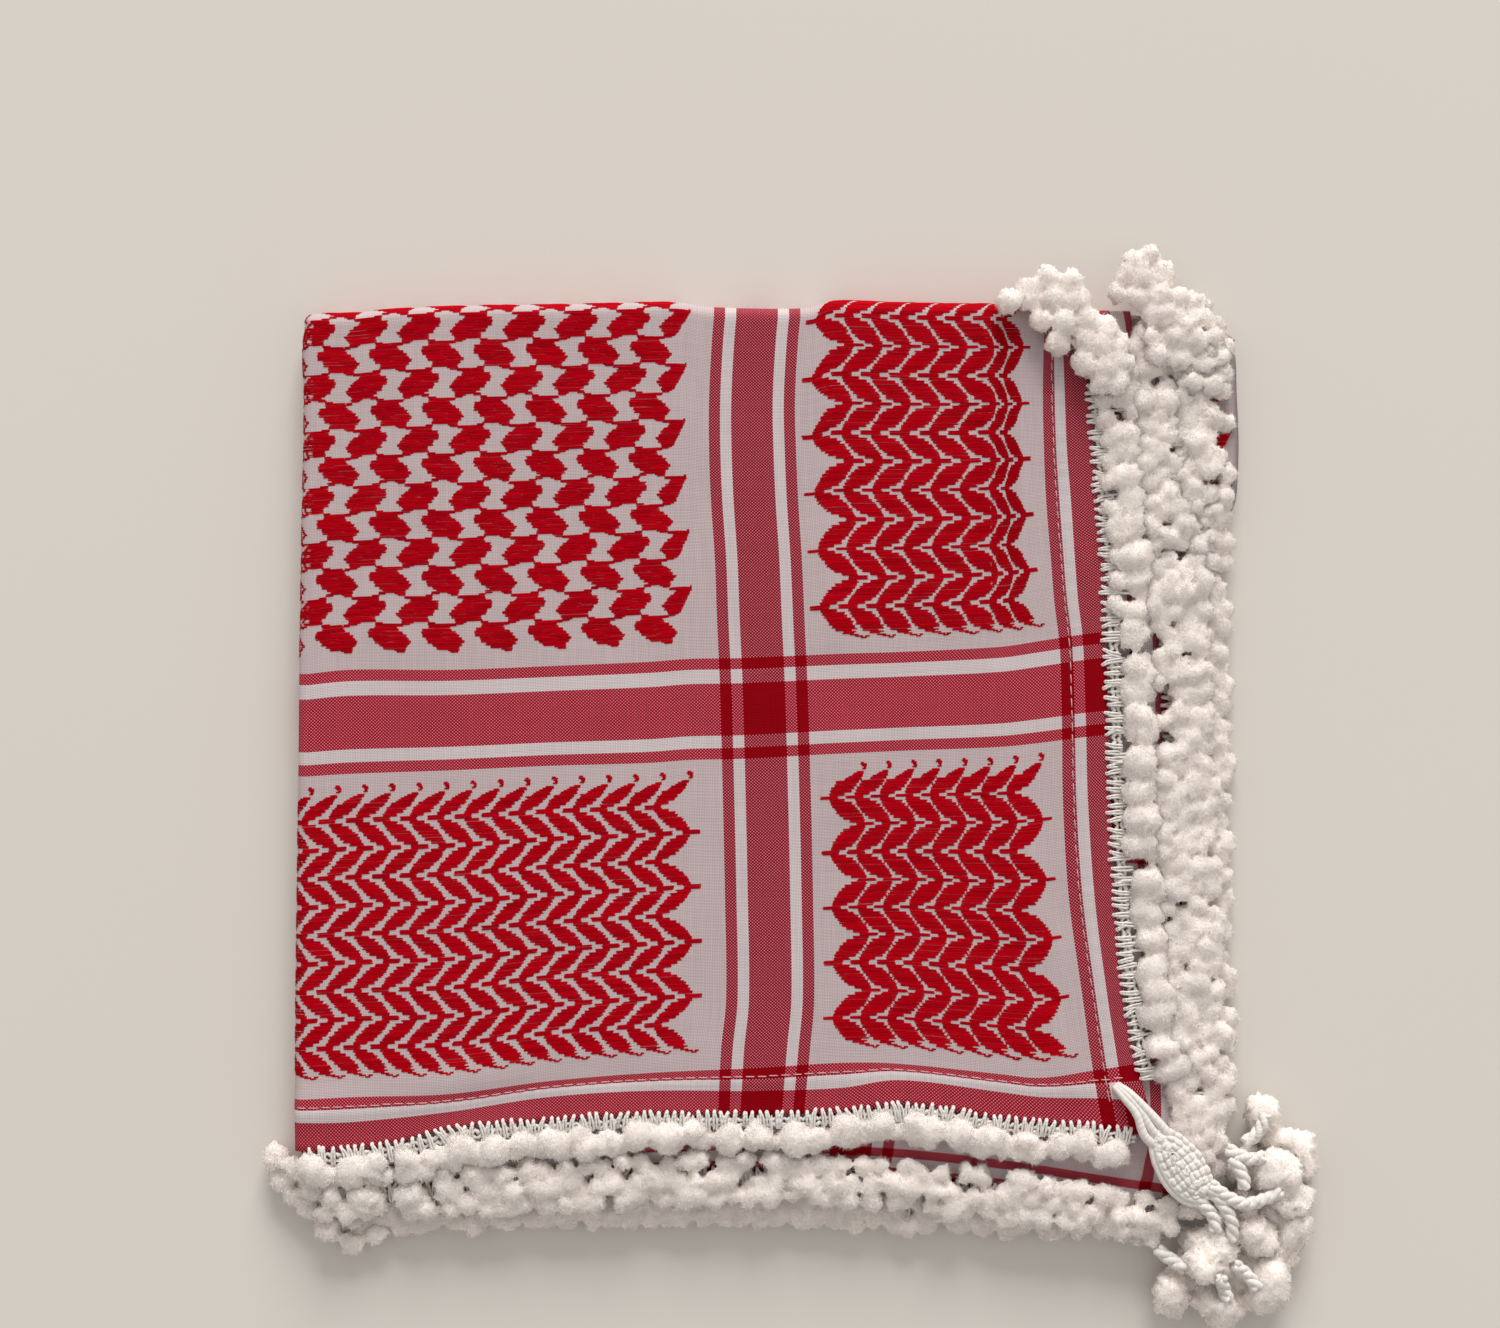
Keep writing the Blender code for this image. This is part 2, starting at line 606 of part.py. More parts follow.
def strip_with_locks(name, points, headings, z, locks, finish):
    """Header strip through the points with one lock out of each of its spans.

    locks holds for each span its reach, rise, turn, half width and half height.
    """
    vertices, faces = [], []
    half = STRIP_HEIGHT / 2
    for point, heading in zip(points, headings):
        out = Vector((math.cos(heading), math.sin(heading)))
        for depth, high in ((0.0, -half), (STRIP_DEPTH, -half), (STRIP_DEPTH, half), (0.0, half)):
            spot = point + out * depth
            vertices.append((spot.x, spot.y, z + high))
    for k in range(len(points) - 1):
        a, b = 4 * k, 4 * (k + 1)
        faces += [(a, b, b + 1, a + 1), (a + 3, a + 2, b + 2, b + 3), (a, a + 3, b + 3, b)]
    faces += [(0, 1, 2, 3), tuple(reversed(range(len(vertices) - 4, len(vertices))))]
    for k, lock in enumerate(locks):
        a, b = 4 * k, 4 * (k + 1)
        heading = (headings[k] + headings[k + 1]) / 2
        out = Vector((math.cos(heading), math.sin(heading), 0.0))
        turned = Vector((math.cos(heading + lock.turn), math.sin(heading + lock.turn), 0.0))
        middle = ((points[k] + points[k + 1]) / 2).to_3d() + Vector((0, 0, z)) + out * STRIP_DEPTH
        lift = Vector((0.0, 0.0, lock.rise))
        neck = middle + out * 1.2 + turned * 0.8 + lift * 0.3
        centre = middle + turned * lock.reach + lift
        centres = [neck, centre - turned * lock.wide * 0.5, centre + turned * lock.wide * 0.5,
                   centre + turned * lock.wide * 1.08]
        sizes = [(lock.wide, lock.high), (lock.wide * 0.92, lock.high * 0.92)]
        if lock.reach > LONG_REACH:
            centres.insert(1, centre - turned * lock.wide * 1.2)
            sizes.insert(0, (NECK * 0.5, NECK * 0.45))
        sizes.insert(0, (NECK * 0.5, NECK * 0.45))
        add_lock(vertices, faces, (a + 1, b + 1, b + 2, a + 2), centres, sizes)
    return solid(name, vertices, faces, finish)


Lock = namedtuple("Lock", "reach rise turn wide high")


def build_row(row, finish, chance):
    """One straight run of fringe along an edge."""
    points, headings, locks = [], [], []
    for k in range(row.locks + 1):
        at = row.start + (row.end - row.start) * k / row.locks
        point, heading = edge_point(row.edge, at, row.gap)
        points.append(point)
        headings.append(heading)
    for k in range(row.locks):
        reach = row.long if k % 2 else row.short
        reach += chance.uniform(-0.5, 0.5)
        span = (points[k + 1] - points[k]).length
        wide = min(POMPOM_WIDTH, span * 0.93) / 2 * chance.uniform(0.93, 1.0)
        high = row.height / 2 * chance.uniform(0.94, 1.0)
        turn = math.radians(chance.uniform(-SWAY, SWAY))
        locks.append(Lock(reach, row.rise + chance.uniform(-0.1, 0.2), turn, wide, high))
    return strip_with_locks(row.name, points, headings, row.z, locks, finish)


def build_fan(fan, finish, chance):
    """A short run of fringe that spreads round a fold's end."""
    points, headings, locks = [], [], []
    for k in range(fan.locks + 1):
        heading = math.radians(fan.start + (fan.end - fan.start) * k / fan.locks)
        spot = Vector((math.cos(heading), math.sin(heading))) * fan.radius
        points.append(Vector((fan.x, fan.y)) + spot)
        headings.append(heading)
    for k in range(fan.locks):
        reach = fan.long if k % 2 else fan.short
        locks.append(Lock(reach, fan.rise + chance.uniform(-0.2, 0.2), 0.0,
                          FAN_WIDTH / 2, POMPOM_HEIGHT / 2))
    return strip_with_locks(fan.name, points, headings, fan.z, locks, finish)


def ball_rings(start, heading, ball, level):
    """Centres and sizes of a chain that ends in a pompom.

    level is the height at which the chain meets the pompom.
    """
    middle = Vector((ball.x, ball.y, ball.z))
    run = middle - start
    aside = Vector((-run.y, run.x, 0.0)).normalized() * ball.bend
    away = (middle - (start + aside * 0.5)).xy.to_3d().normalized()
    near = middle - away * ball.radius * 0.9
    near.z = level
    bend = start + (near - start) * 0.5 + aside * 0.5
    centres = [start + heading * 2.6, bend, near, middle - away * ball.radius * 0.45,
               middle + away * ball.radius * 0.45, middle + away * ball.radius]
    round_half = ball.radius * 0.94
    thin = (CHAIN / 2, CHAIN / 2)
    return centres, [thin, thin, thin, (round_half, round_half), (round_half, round_half)]


def build_tab(finish):
    """Crocheted oval tab, its loop to the cloth and pompoms on chains."""
    along = Vector((math.cos(TAB_ANGLE), math.sin(TAB_ANGLE), 0.0))
    across = Vector((-along.y, along.x, 0.0))
    centre = Vector((*TAB_CENTRE, TAB_Z))
    profile = ((-0.5, 0.15), (-0.42, 0.34), (-0.15, 0.5), (0.2, 0.48), (0.42, 0.44))
    left = [centre + along * TAB_LENGTH * a + across * TAB_WIDTH * b for a, b in profile]
    right = [centre + along * TAB_LENGTH * a - across * TAB_WIDTH * b for a, b in reversed(profile)]
    end_count = len(TAB_BALLS)
    end_edge = [centre + along * TAB_LENGTH * 0.5 + across * TAB_WIDTH * (0.4 - 0.8 * k / end_count)
                for k in range(end_count + 1)]
    ring = left + end_edge + right
    half = Vector((0.0, 0.0, TAB_THICKNESS / 2))
    vertices = [tuple(p - half) for p in ring] + [tuple(p + half) for p in ring]
    count = len(ring)
    first = len(left)
    faces = [tuple(reversed(range(count))), tuple(range(count, 2 * count))]
    for k in range(count - 1):
        n = k + 1
        if first <= k < first + end_count:
            ball = TAB_BALLS[k - first]
            start = (ring[k] + ring[n]) / 2
            turn = math.radians(TAB_SPREAD[k - first])
            heading = along * math.cos(turn) + across * math.sin(turn)
            level = min(TAB_Z - 1.0, ball.z + ball.radius * 0.3)
            centres, sizes = ball_rings(start, heading, ball, level)
            add_lock(vertices, faces, (n, k, k + count, n + count), centres, sizes)
        else:
            faces.append((k, n, n + count, k + count))
    loop = [Vector(p) for p in LOOP_POINTS]
    add_lock(vertices, faces, (0, count - 1, 2 * count - 1, count), loop, [(2.2, 1.3), (2.0, 1.2)])
    return solid("corner_tab", vertices, faces, finish)


def build_low_tassels(finish):
    """Lower corner's strip with its own pompoms on chains."""
    vertices, faces = [], []
    count = len(LOW_BALLS)
    centre = Vector((190.6, -184.4, 2.9))
    ring, inner = [], []
    for k in range(count + 1):
        heading = math.radians(72.0 - 192.0 * k / count)
        out = Vector((math.cos(heading), math.sin(heading), 0.0))
        ring.append(centre + out * 5.0)
        inner.append(centre + out * 2.2)
    half = 1.2
    for outer, near in zip(ring, inner):
        vertices += [(near.x, near.y, near.z - half), (outer.x, outer.y, outer.z - half),
                     (outer.x, outer.y, outer.z + half), (near.x, near.y, near.z + half)]
    for k in range(count):
        a, b = 4 * k, 4 * (k + 1)
        faces += [(a, b, b + 1, a + 1), (a + 3, a + 2, b + 2, b + 3), (a, a + 3, b + 3, b)]
    faces += [(0, 1, 2, 3), tuple(reversed(range(len(vertices) - 4, len(vertices))))]
    for k, ball in enumerate(LOW_BALLS):
        a, b = 4 * k, 4 * (k + 1)
        start = (ring[k] + ring[k + 1]) / 2
        heading = (start - centre).normalized()
        centres, sizes = ball_rings(start, heading, ball, 3.2)
        add_lock(vertices, faces, (b + 1, a + 1, a + 2, b + 2), centres, sizes)
    return solid("corner_tassels_low", vertices, faces, finish)


def main():
    """Build the folded scarf."""
    clear_file()
    chance = random.Random(SEED)
    cloth = material("woven_cotton", (0.62, 0.28, 0.30), 0.9)
    hidden = material("folded_cotton", (0.62, 0.42, 0.42), 0.92)
    yarn = material("cotton_yarn", (0.80, 0.76, 0.72), 0.95)
    build_top_cloth(cloth)
    build_second_cloth(cloth)
    build_core(hidden)
    for row in ROWS:
        build_row(row, yarn, chance)
    for fan in FANS:
        build_fan(fan, yarn, chance)
    build_tab(yarn)
    build_low_tassels(yarn)


main()
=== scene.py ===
"""Dress the folded cotton headscarf: woven cloth, raised floats, crochet edge and pompoms.

Lengths are millimetres until a mesh is made.  Places on the cloth are counted in
threads: a counts warp threads from the left fold to the right hem and b counts picks
from the upper fold to the lower hem.
"""

import logging
import math
from dataclasses import dataclass, field
from enum import Enum
from typing import Any, Callable, Dict, List, Optional, Sequence, Tuple, Union

import bmesh
import bpy
import numpy as np
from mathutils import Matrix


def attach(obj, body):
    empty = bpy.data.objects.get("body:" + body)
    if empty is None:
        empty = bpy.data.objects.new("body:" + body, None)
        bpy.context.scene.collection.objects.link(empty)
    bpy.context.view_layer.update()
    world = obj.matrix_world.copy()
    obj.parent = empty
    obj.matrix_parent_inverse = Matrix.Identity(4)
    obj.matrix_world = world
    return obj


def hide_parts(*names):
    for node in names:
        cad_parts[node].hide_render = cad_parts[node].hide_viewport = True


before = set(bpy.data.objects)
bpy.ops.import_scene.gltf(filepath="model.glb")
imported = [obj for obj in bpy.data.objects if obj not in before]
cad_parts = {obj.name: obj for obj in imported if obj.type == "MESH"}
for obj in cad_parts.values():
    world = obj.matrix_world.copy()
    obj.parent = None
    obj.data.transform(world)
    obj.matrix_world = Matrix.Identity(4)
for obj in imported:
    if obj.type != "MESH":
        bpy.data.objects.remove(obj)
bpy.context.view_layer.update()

LOG = logging.getLogger("headscarf")
MM = 0.001
SEED = 1931
BODY = "root"

WARP_PITCH = 0.613
PICK_PITCH = 0.5835
LAST_THREAD = 493.0
LAST_PICK = 534.0
EDGE_TURN = 1.7
PLATE_THREAD = 6.4
PLATE_PICK = 8.0
LEFT_REACH = 3.95
TOP_REACH = 4.5
FOLD_TO_AXIS = 7.55
WARP_STRIPES = ((252, 259), (266, 292), (299, 306), (465, 473), (480, 520))
WEFT_STRIPES = ((237, 244), (253, 286), (294, 301), (506, 513), (521, 560))
WARP_WHITES = ((259, 266), (292, 299), (473, 480))
WEFT_WHITES = ((244, 253), (286, 294), (513, 521))

Array = np.ndarray
Chance = np.random.Generator
Thing = bpy.types.Object
Material = bpy.types.Material
Triple = Tuple[float, float, float]
Section = List[Triple]
Floats = Tuple[float, ...]
Points = Sequence[Tuple[float, float]]


class Slot(Enum):
    """Material slots of the record."""

    CLOTH = "woven_cotton"
    HIDDEN = "folded_cotton"
    YARN = "cotton_yarn"


class Side(Enum):
    """Hemmed side that a run of fringe hangs from."""

    RIGHT = "right"
    BOTTOM = "bottom"


# ---- helpers


def ease(value: Array) -> Array:
    """Smooth step of values clamped to 0..1."""
    value = np.clip(value, 0.0, 1.0)
    return value * value * (3.0 - 2.0 * value)


def spline(points: Points, at: Array) -> Array:
    """Read a smooth line through a short table.

    Args:
        points: (along, offset) pairs in rising order of along.
        at: places along the line.

    Returns:
        The offset at each place, held constant past the ends.
    """
    table = np.array(points, dtype=float)
    along, offset = table[:, 0], table[:, 1]
    spot = np.clip(np.asarray(at, dtype=float), along[0], along[-1])
    left = np.clip(np.searchsorted(along, spot, side="right") - 1, 0, len(along) - 2)
    before, after = np.maximum(left - 1, 0), np.minimum(left + 2, len(along) - 1)
    span = along[left + 1] - along[left]
    t = (spot - along[left]) / span
    start = (offset[left + 1] - offset[before]) / (along[left + 1] - along[before]) * span
    end = (offset[after] - offset[left]) / (along[after] - along[left]) * span
    near = (2 * t ** 3 - 3 * t ** 2 + 1) * offset[left] + (t ** 3 - 2 * t ** 2 + t) * start
    return near + (3 * t ** 2 - 2 * t ** 3) * offset[left + 1] + (t ** 3 - t ** 2) * end


def unit(vectors: Array) -> Array:
    """Vectors along the last axis scaled to length one."""
    return vectors / np.maximum(np.linalg.norm(vectors, axis=-1, keepdims=True), 1e-9)


def beside(*parts: Array) -> Array:
    """Arrays side by side, each a column or a row of points of the new one."""
    return np.stack(parts, axis=1)


def refine(grid: Array, times: int, axis: int, closed: bool) -> Array:
    """Put smooth in-between rows into a grid of points.

    Args:
        grid: points of shape (rows, columns, 3).
        times: pieces that each span is cut into.
        axis: 0 to refine the rows, 1 the columns.
        closed: True where the last row joins the first.

    Returns:
        The finer grid.
    """
    rows = np.moveaxis(grid, axis, 0)
    count = len(rows)
    spans = count if closed else count - 1
    made = []
    for k in range(spans):
        if closed:
            p = [rows[(k + step) % count] for step in (-1, 0, 1, 2)]
        else:
            p = [rows[min(max(k + step, 0), count - 1)] for step in (-1, 0, 1, 2)]
        for piece in range(times):
            t = piece / times
            made.append(0.5 * (2 * p[1] + (p[2] - p[0]) * t + (2 * p[0] - 5 * p[1] + 4 * p[2] - p[3])
                               * t ** 2 + (3 * p[1] - p[0] - 3 * p[2] + p[3]) * t ** 3))
    if not closed:
        made.append(rows[-1])
    return np.moveaxis(np.array(made), 0, axis)


class Bundle:
    """Points, faces and point values of one joined mesh, gathered from arrays."""

    def __init__(self) -> None:
        """Start with nothing in the bundle."""
        self.points: List[Array] = []
        self.faces: List[Array] = []
        self.values: List[Array] = []
        self.count = 0

    def add(self, points: Array, faces: Array, values: Array) -> int:
        """Add a patch.

        Args:
            points: (n, 3) places in millimetres.
            faces: (m, 3) or (m, 4) point numbers within the patch.
            values: (n, 3) or (3,) values kept on the points.

        Returns:
            The number of the patch's first point.
        """
        first = self.count
        points = np.asarray(points, dtype=float).reshape(-1, 3)
        values = np.broadcast_to(np.asarray(values, dtype=float), points.shape)
        self.points.append(points)
        self.faces.append(np.asarray(faces, dtype=np.int64) + first)
        self.values.append(values)
        self.count += len(points)
        return first

    def strands(self, paths: Array, radii: Array, sides: int, chance: Chance) -> None:
        """Add tubes of yarn; their values are the place along, a tone and a kind.

        Args:
            paths: (tubes, stations, 3) centre lines.
            radii: half width at each station.
            sides: points round a station.
            chance: random draws.
        """
        shape = (*paths.shape[:2], sides)
        along = np.arange(shape[1])[:, None] * 0.9 + np.arange(sides) * 1.2 / sides
        tone = np.broadcast_to(chance.uniform(0.0, 1.0, (shape[0], 1, 1)), shape).ravel()
        values = beside(np.broadcast_to(along, shape).ravel(), tone, np.ones(tone.size))
        self.add(*tubes(paths, radii, sides), values)

    def piece(self, name: str, label: str, finish: Material, slot: Slot, node: str = "",
              normals: Optional[Array] = None) -> Thing:
        """Make a piece of the scarf and tie it to the body.

        Args:
            name: name of the piece.
            label: name of the point attribute that holds the values.
            finish: its material.
            slot: not used.
            node: node that it stands for, if any.
            normals: shading normals of the points, if they are softened.

        Returns:
            The piece.
        """
        made = self.make(name, label, finish, normals)
        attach(made, BODY)
        if node:
            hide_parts(node)
        return made

    def make(self, name: str, label: str, finish: Material, normals: Optional[Array] = None) -> Thing:
        """Make the linked mesh object in metres, from what piece is given."""
        points = np.concatenate(self.points) * MM
        corner = np.concatenate([faces.ravel() for faces in self.faces])
        total = np.concatenate([np.full(len(faces), faces.shape[1]) for faces in self.faces])
        mesh = bpy.data.meshes.new(name)
        mesh.vertices.add(len(points))
        mesh.vertices.foreach_set("co", points.ravel().astype(np.float32))
        mesh.loops.add(len(corner))
        mesh.loops.foreach_set("vertex_index", corner.astype(np.int32))
        mesh.polygons.add(len(total))
        starts = np.concatenate([[0], np.cumsum(total)[:-1]])
        mesh.polygons.foreach_set("loop_start", starts.astype(np.int32))
        mesh.polygons.foreach_set("use_smooth", np.ones(len(total), dtype=bool))
        mesh.update(calc_edges=True)
        stored = mesh.attributes.new(label, "FLOAT_VECTOR", "POINT")
        stored.data.foreach_set("vector", np.concatenate(self.values).ravel().astype(np.float32))
        mesh.materials.append(finish)
        if normals is not None:
            mesh.normals_split_custom_set_from_vertices(normals.tolist())
        thing = bpy.data.objects.new(name, mesh)
        bpy.context.scene.collection.objects.link(thing)
        return thing


def grid_faces(rows: int, columns: int, closed: bool = False) -> Array:
    """Quads of a grid of points numbered row by row.

    Args:
        rows: number of rows.
        columns: points in a row.
        closed: True where a row's last point joins its first.

    Returns:
        (m, 4) point numbers.
    """
    last = columns if closed else columns - 1
    r, c = np.meshgrid(np.arange(rows - 1), np.arange(last), indexing="ij")
    n = (c + 1) % columns
    quad = np.stack([r * columns + c, r * columns + n, (r + 1) * columns + n, (r + 1) * columns + c],
                    axis=-1)
    return quad.reshape(-1, 4)


def tubes(paths: Array, radii: Array, sides: int, flat: float = 1.0) -> Tuple[Array, Array]:
    """Closed tubes along many paths of the same number of points.

    Args:
        paths: (tubes, stations, 3) centre lines.
        radii: half width at each station, of shape (tubes, stations) or (stations,).
        sides: points round a station.
        flat: height over width of the section.

    Returns:
        Points and quads of all tubes.
    """
    count, stations = paths.shape[:2]
    radii = np.broadcast_to(radii, (count, stations))
    tangent = unit(np.gradient(paths, axis=1))
    up = np.zeros_like(tangent)
    up[..., 2] = 1.0
    steep = np.abs(tangent[..., 2]) > 0.95
    up[steep] = (1.0, 0.0, 0.0)
    side = unit(np.cross(tangent, up))
    lift = np.cross(side, tangent)
    turn = np.linspace(0.0, 2.0 * math.pi, sides, endpoint=False)
    ring = (side[:, :, None, :] * np.cos(turn)[None, None, :, None] + lift[:, :, None, :]
            * np.sin(turn)[None, None, :, None] * flat)
    points = paths[:, :, None, :] + ring * radii[:, :, None, None]
    one = grid_faces(stations, sides, closed=True)
    step = stations * sides
    faces = (one[None] + (np.arange(count) * step)[:, None, None]).reshape(-1, 4)
    return points.reshape(-1, 3), faces


def smooth_paths(knots: Array, stations: int) -> Array:
    """Smooth centre lines through the same number of knots each.

    Args:
        knots: (paths, knots, 3) places.
        stations: points wanted on each line.

    Returns:
        (paths, stations, 3) places.
    """
    fine = refine(knots, 6, 1, False)
    pick = np.linspace(0, fine.shape[1] - 1, stations).round().astype(int)
    return fine[:, pick]


# ---- shader maths


Number = Union["Sock", float]


class Sock:
    """A number socket of a shader that takes part in Python expressions."""

    def __init__(self, graph: "Graph", socket: Any) -> None:
        """Wrap an output socket of a material's nodes."""
        self.graph = graph
        self.socket = socket

    def maths(self, operation: str, *others: Number, swap: bool = False) -> "Sock":
        """Add a Math node.

        Args:
            operation: the node's operation.
            others: further operands.
            swap: True to put this operand last.

        Returns:
            The node's value.
        """
        operands = [self, *others]
        if swap:
            operands.reverse()
        made = self.graph.node("ShaderNodeMath", {"operation": operation}, dict(enumerate(operands)))
        return Sock(self.graph, made.outputs[0])

    def __add__(self, other: Number) -> "Sock":
        """Sum."""
        return self.maths("ADD", other)

    def __sub__(self, other: Number) -> "Sock":
        """Difference."""
        return self.maths("SUBTRACT", other)

    def __rsub__(self, other: float) -> "Sock":
        """A number less this."""
        return self.maths("SUBTRACT", other, swap=True)

    def __mul__(self, other: Number) -> "Sock":
        """Product."""
        return self.maths("MULTIPLY", other)

    __radd__ = __add__
    __rmul__ = __mul__

    def above(self, limit: Number) -> "Sock":
        """One where this is greater than the limit, else nought."""
        return self.maths("GREATER_THAN", limit)

    def clamp(self) -> "Sock":
        """This kept between 0 and 1."""
        made = self.graph.node("ShaderNodeClamp", {}, {"Value": self})
        return Sock(self.graph, made.outputs[0])


class Graph:
    """The nodes of one material, made through one method."""

    def __init__(self, name: str) -> None:
        """Make a material with a Principled shader and nothing else.

        Args:
            name: name of the material.
        """
        self.material = bpy.data.materials.new(name)
        self.material.use_nodes = True
        self.tree = self.material.node_tree
        self.shader = self.tree.nodes["Principled BSDF"]

    def node(self, kind: str, settings: Dict[str, Any], inputs: Dict[Any, Any]) -> Any:
        """Add a node, set it, then fill its sockets.

        Args:
            kind: Blender's type name of the node.
            settings: its properties.
            inputs: values or links by socket number, identifier or name.

        Returns:
            The node.
        """
        made = self.tree.nodes.new(kind)
        for key, value in settings.items():
            setattr(made, key, value)
        for key, value in inputs.items():
            self.feed(self.socket(made, key), value)
        return made

    @staticmethod
    def socket(node: Any, key: Union[int, str]) -> Any:
        """Find an input socket by number, identifier or name."""
        named = [socket for socket in node.inputs if socket.identifier == key]
        return named[0] if named else node.inputs[key]

    def feed(self, socket: Any, value: Any) -> None:
        """Link or set one input socket."""
        if isinstance(value, Sock):
            self.tree.links.new(value.socket, socket)
        elif hasattr(value, "is_output"):
            self.tree.links.new(value, socket)
        elif isinstance(value, tuple) and socket.type == "RGBA":
            socket.default_value = (*value[:3], 1.0)
        else:
            socket.default_value = value

    def split(self, label: str) -> Tuple[Sock, Sock, Sock, Any]:
        """Read a stored point attribute.

        Args:
            label: name of the attribute.

        Returns:
            Its three numbers, and its vector socket.
        """
        stored = self.node("ShaderNodeAttribute", {"attribute_name": label}, {})
        parts = self.node("ShaderNodeSeparateXYZ", {}, {0: stored.outputs["Vector"]})
        x, y, z = (Sock(self, parts.outputs[k]) for k in range(3))
        return x, y, z, stored.outputs["Vector"]

    def join(self, x: Any, y: Any, z: Any) -> Any:
        """Vector socket made of three numbers."""
        return self.node("ShaderNodeCombineXYZ", {}, {0: x, 1: y, 2: z}).outputs[0]

    def noise(self, vector: Any, scale: float, detail: float = 2.0) -> Sock:
        """Value of a noise texture about 0.5.

        Args:
            vector: where it is read.
            scale: its scale.
            detail: its octaves.

        Returns:
            The value.
        """
        made = self.node("ShaderNodeTexNoise", {}, {"Vector": vector, "Scale": scale, "Detail": detail})
        return Sock(self, made.outputs[0])

    def place(self) -> Any:
        """Vector socket of the point's place in the piece."""
        return self.node("ShaderNodeTexCoord", {}, {}).outputs["Object"]

    def mix(self, factor: Number, first: Any, second: Any) -> Any:
        """Blend two colours.

        Args:
            factor: share of the second.
            first: colour or socket.
            second: colour or socket.

        Returns:
            Colour socket.
        """
        made = self.node("ShaderNodeMix", {"data_type": "RGBA"},
                         {"Factor_Float": factor, "A_Color": first, "B_Color": second})
        return made.outputs[2]

    def shade(self, colour: Any, brightness: Sock) -> Any:
        """Colour socket multiplied by a number."""
        made = self.node("ShaderNodeVectorMath", {"operation": "SCALE"}, {0: colour, "Scale": brightness})
        return made.outputs[0]

    def bump(self, height: Sock, distance: float, strength: float) -> None:
        """Feed a height to the shader's normal.

        Args:
            height: relief between 0 and 1.
            distance: its height in metres.
            strength: share of it that shows.
        """
        made = self.node("ShaderNodeBump", {},
                         {"Height": height, "Distance": distance, "Strength": strength})
        self.feed(self.shader.inputs["Normal"], made.outputs[0])

    def finish(self, colour: Any, roughness: Number, **constants: float) -> None:
        """Feed the shader.

        Args:
            colour: base colour.
            roughness: roughness.
            constants: further sockets by name, with _ for a space.
        """
        self.feed(self.shader.inputs["Base Color"], colour)
        self.feed(self.shader.inputs["Roughness"], roughness)
        for key, value in constants.items():
            self.feed(self.shader.inputs[key.replace("_", " ")], value)


# ---- finishes


@dataclass(frozen=True)
class WovenCotton:
    """Plain weave whose warp and weft change between white and red.

    The stored threads attribute holds a, b and a third number, always nought, that the material doesn't read.
    """

    name: str = "woven_cotton_check"
    white: Triple = (0.74, 0.60, 0.605)
    white_stripe: Triple = (0.86, 0.75, 0.76)
    blushed: Triple = (0.81, 0.21, 0.28)
    shaded: Triple = (0.72, 0.56, 0.575)
    red_warp: Triple = (0.29, 0.0, 0.004)
    red_weft: Triple = (0.43, 0.0, 0.008)
    red_cover: float = 0.22
    # share of the colour kept in the painted shade between the threads
    painted_gap_shade: float = 0.62

    @staticmethod
    def stripes(count: Sock, ranges: Sequence[Tuple[int, int]]) -> Sock:
        """One where a thread number lies in one of the ranges.

        Args:
            count: whole thread number.
            ranges: first and past-last thread of each stripe.

        Returns:
            The mask.
        """
        parts = [count.above(low - 0.5) - count.above(high - 0.5) for low, high in ranges]
        return sum(parts[1:], parts[0])

    def build(self) -> Material:
        """Make the material."""
        graph = Graph(self.name)
        a, b, _, _ = graph.split("threads")
        thread, pick = a.maths("FLOOR"), b.maths("FLOOR")
        warp_red, weft_red = self.stripes(thread, WARP_STRIPES), self.stripes(pick, WEFT_STRIPES)
        weave = (a * math.pi).maths("SINE") * (b * math.pi).maths("SINE")
        warp_up = weave.above((weft_red - warp_red) * self.red_cover)
        relief = weave.maths("ABSOLUTE")
        uneven = graph.noise(graph.join(a * 0.9, b * 0.02, 0.0), 1.0) * 0.5
        uneven = uneven + graph.noise(graph.join(a * 0.02, b * 0.9, 7.0), 1.0) * 0.5
        cloudy = graph.noise(graph.place(), 22.0, 3.0)
        dense = self.stripes(thread, WARP_WHITES).maths("MAXIMUM", self.stripes(pick, WEFT_WHITES))
        plain = graph.mix(dense, self.white, self.white_stripe)
        plain = graph.mix((cloudy - 0.42) * 0.9, plain, self.shaded)
        pale = graph.mix(warp_red.maths("MAXIMUM", weft_red), plain, self.blushed)
        warp = graph.mix(warp_red, pale, self.red_warp)
        weft = graph.mix(weft_red, pale, self.red_weft)
        colour = graph.mix(warp_up, weft, warp)
        # painted shade: colour darkened where the weave's relief is low, between the threads and most at
        # their crossings; the slub noise is random tone
        shading = (relief * (1.0 - self.painted_gap_shade) + self.painted_gap_shade) * (uneven * 0.5 + 0.75)
        graph.bump(relief, 0.00012, 0.5)
        graph.finish(graph.shade(colour, shading), 0.9, Specular_IOR_Level=0.06)
        return graph.material


@dataclass(frozen=True)
class FloatYarn:
    """Glossy red supplementary weft that lies on the cloth in long floats."""

    name: str = "red_float_yarn"
    deep: Triple = (0.30, 0.0, 0.004)
    bright: Triple = (0.66, 0.0, 0.010)

    def build(self) -> Material:
        """Make the material."""
        graph = Graph(self.name)
        along, tone, across, _ = graph.split("strand")
        streak = graph.noise(graph.join(along * 0.5, across * 1.4, tone * 40.0), 1.0, 3.0)
        # tone is random, and low on floats squeezed in the pleat, where the deep red is painted shade
        level = (tone * 0.55 + streak * 0.75 - 0.12).clamp()
        # painted shade: each float's colour darkened towards its two sides, lighter along its middle
        crown = 1.0 - across * across * 0.35
        graph.bump(streak, 0.00006, 0.5)
        graph.finish(graph.shade(graph.mix(level, self.deep, self.bright), crown), 0.7,
                     Specular_IOR_Level=0.03)
        return graph.material


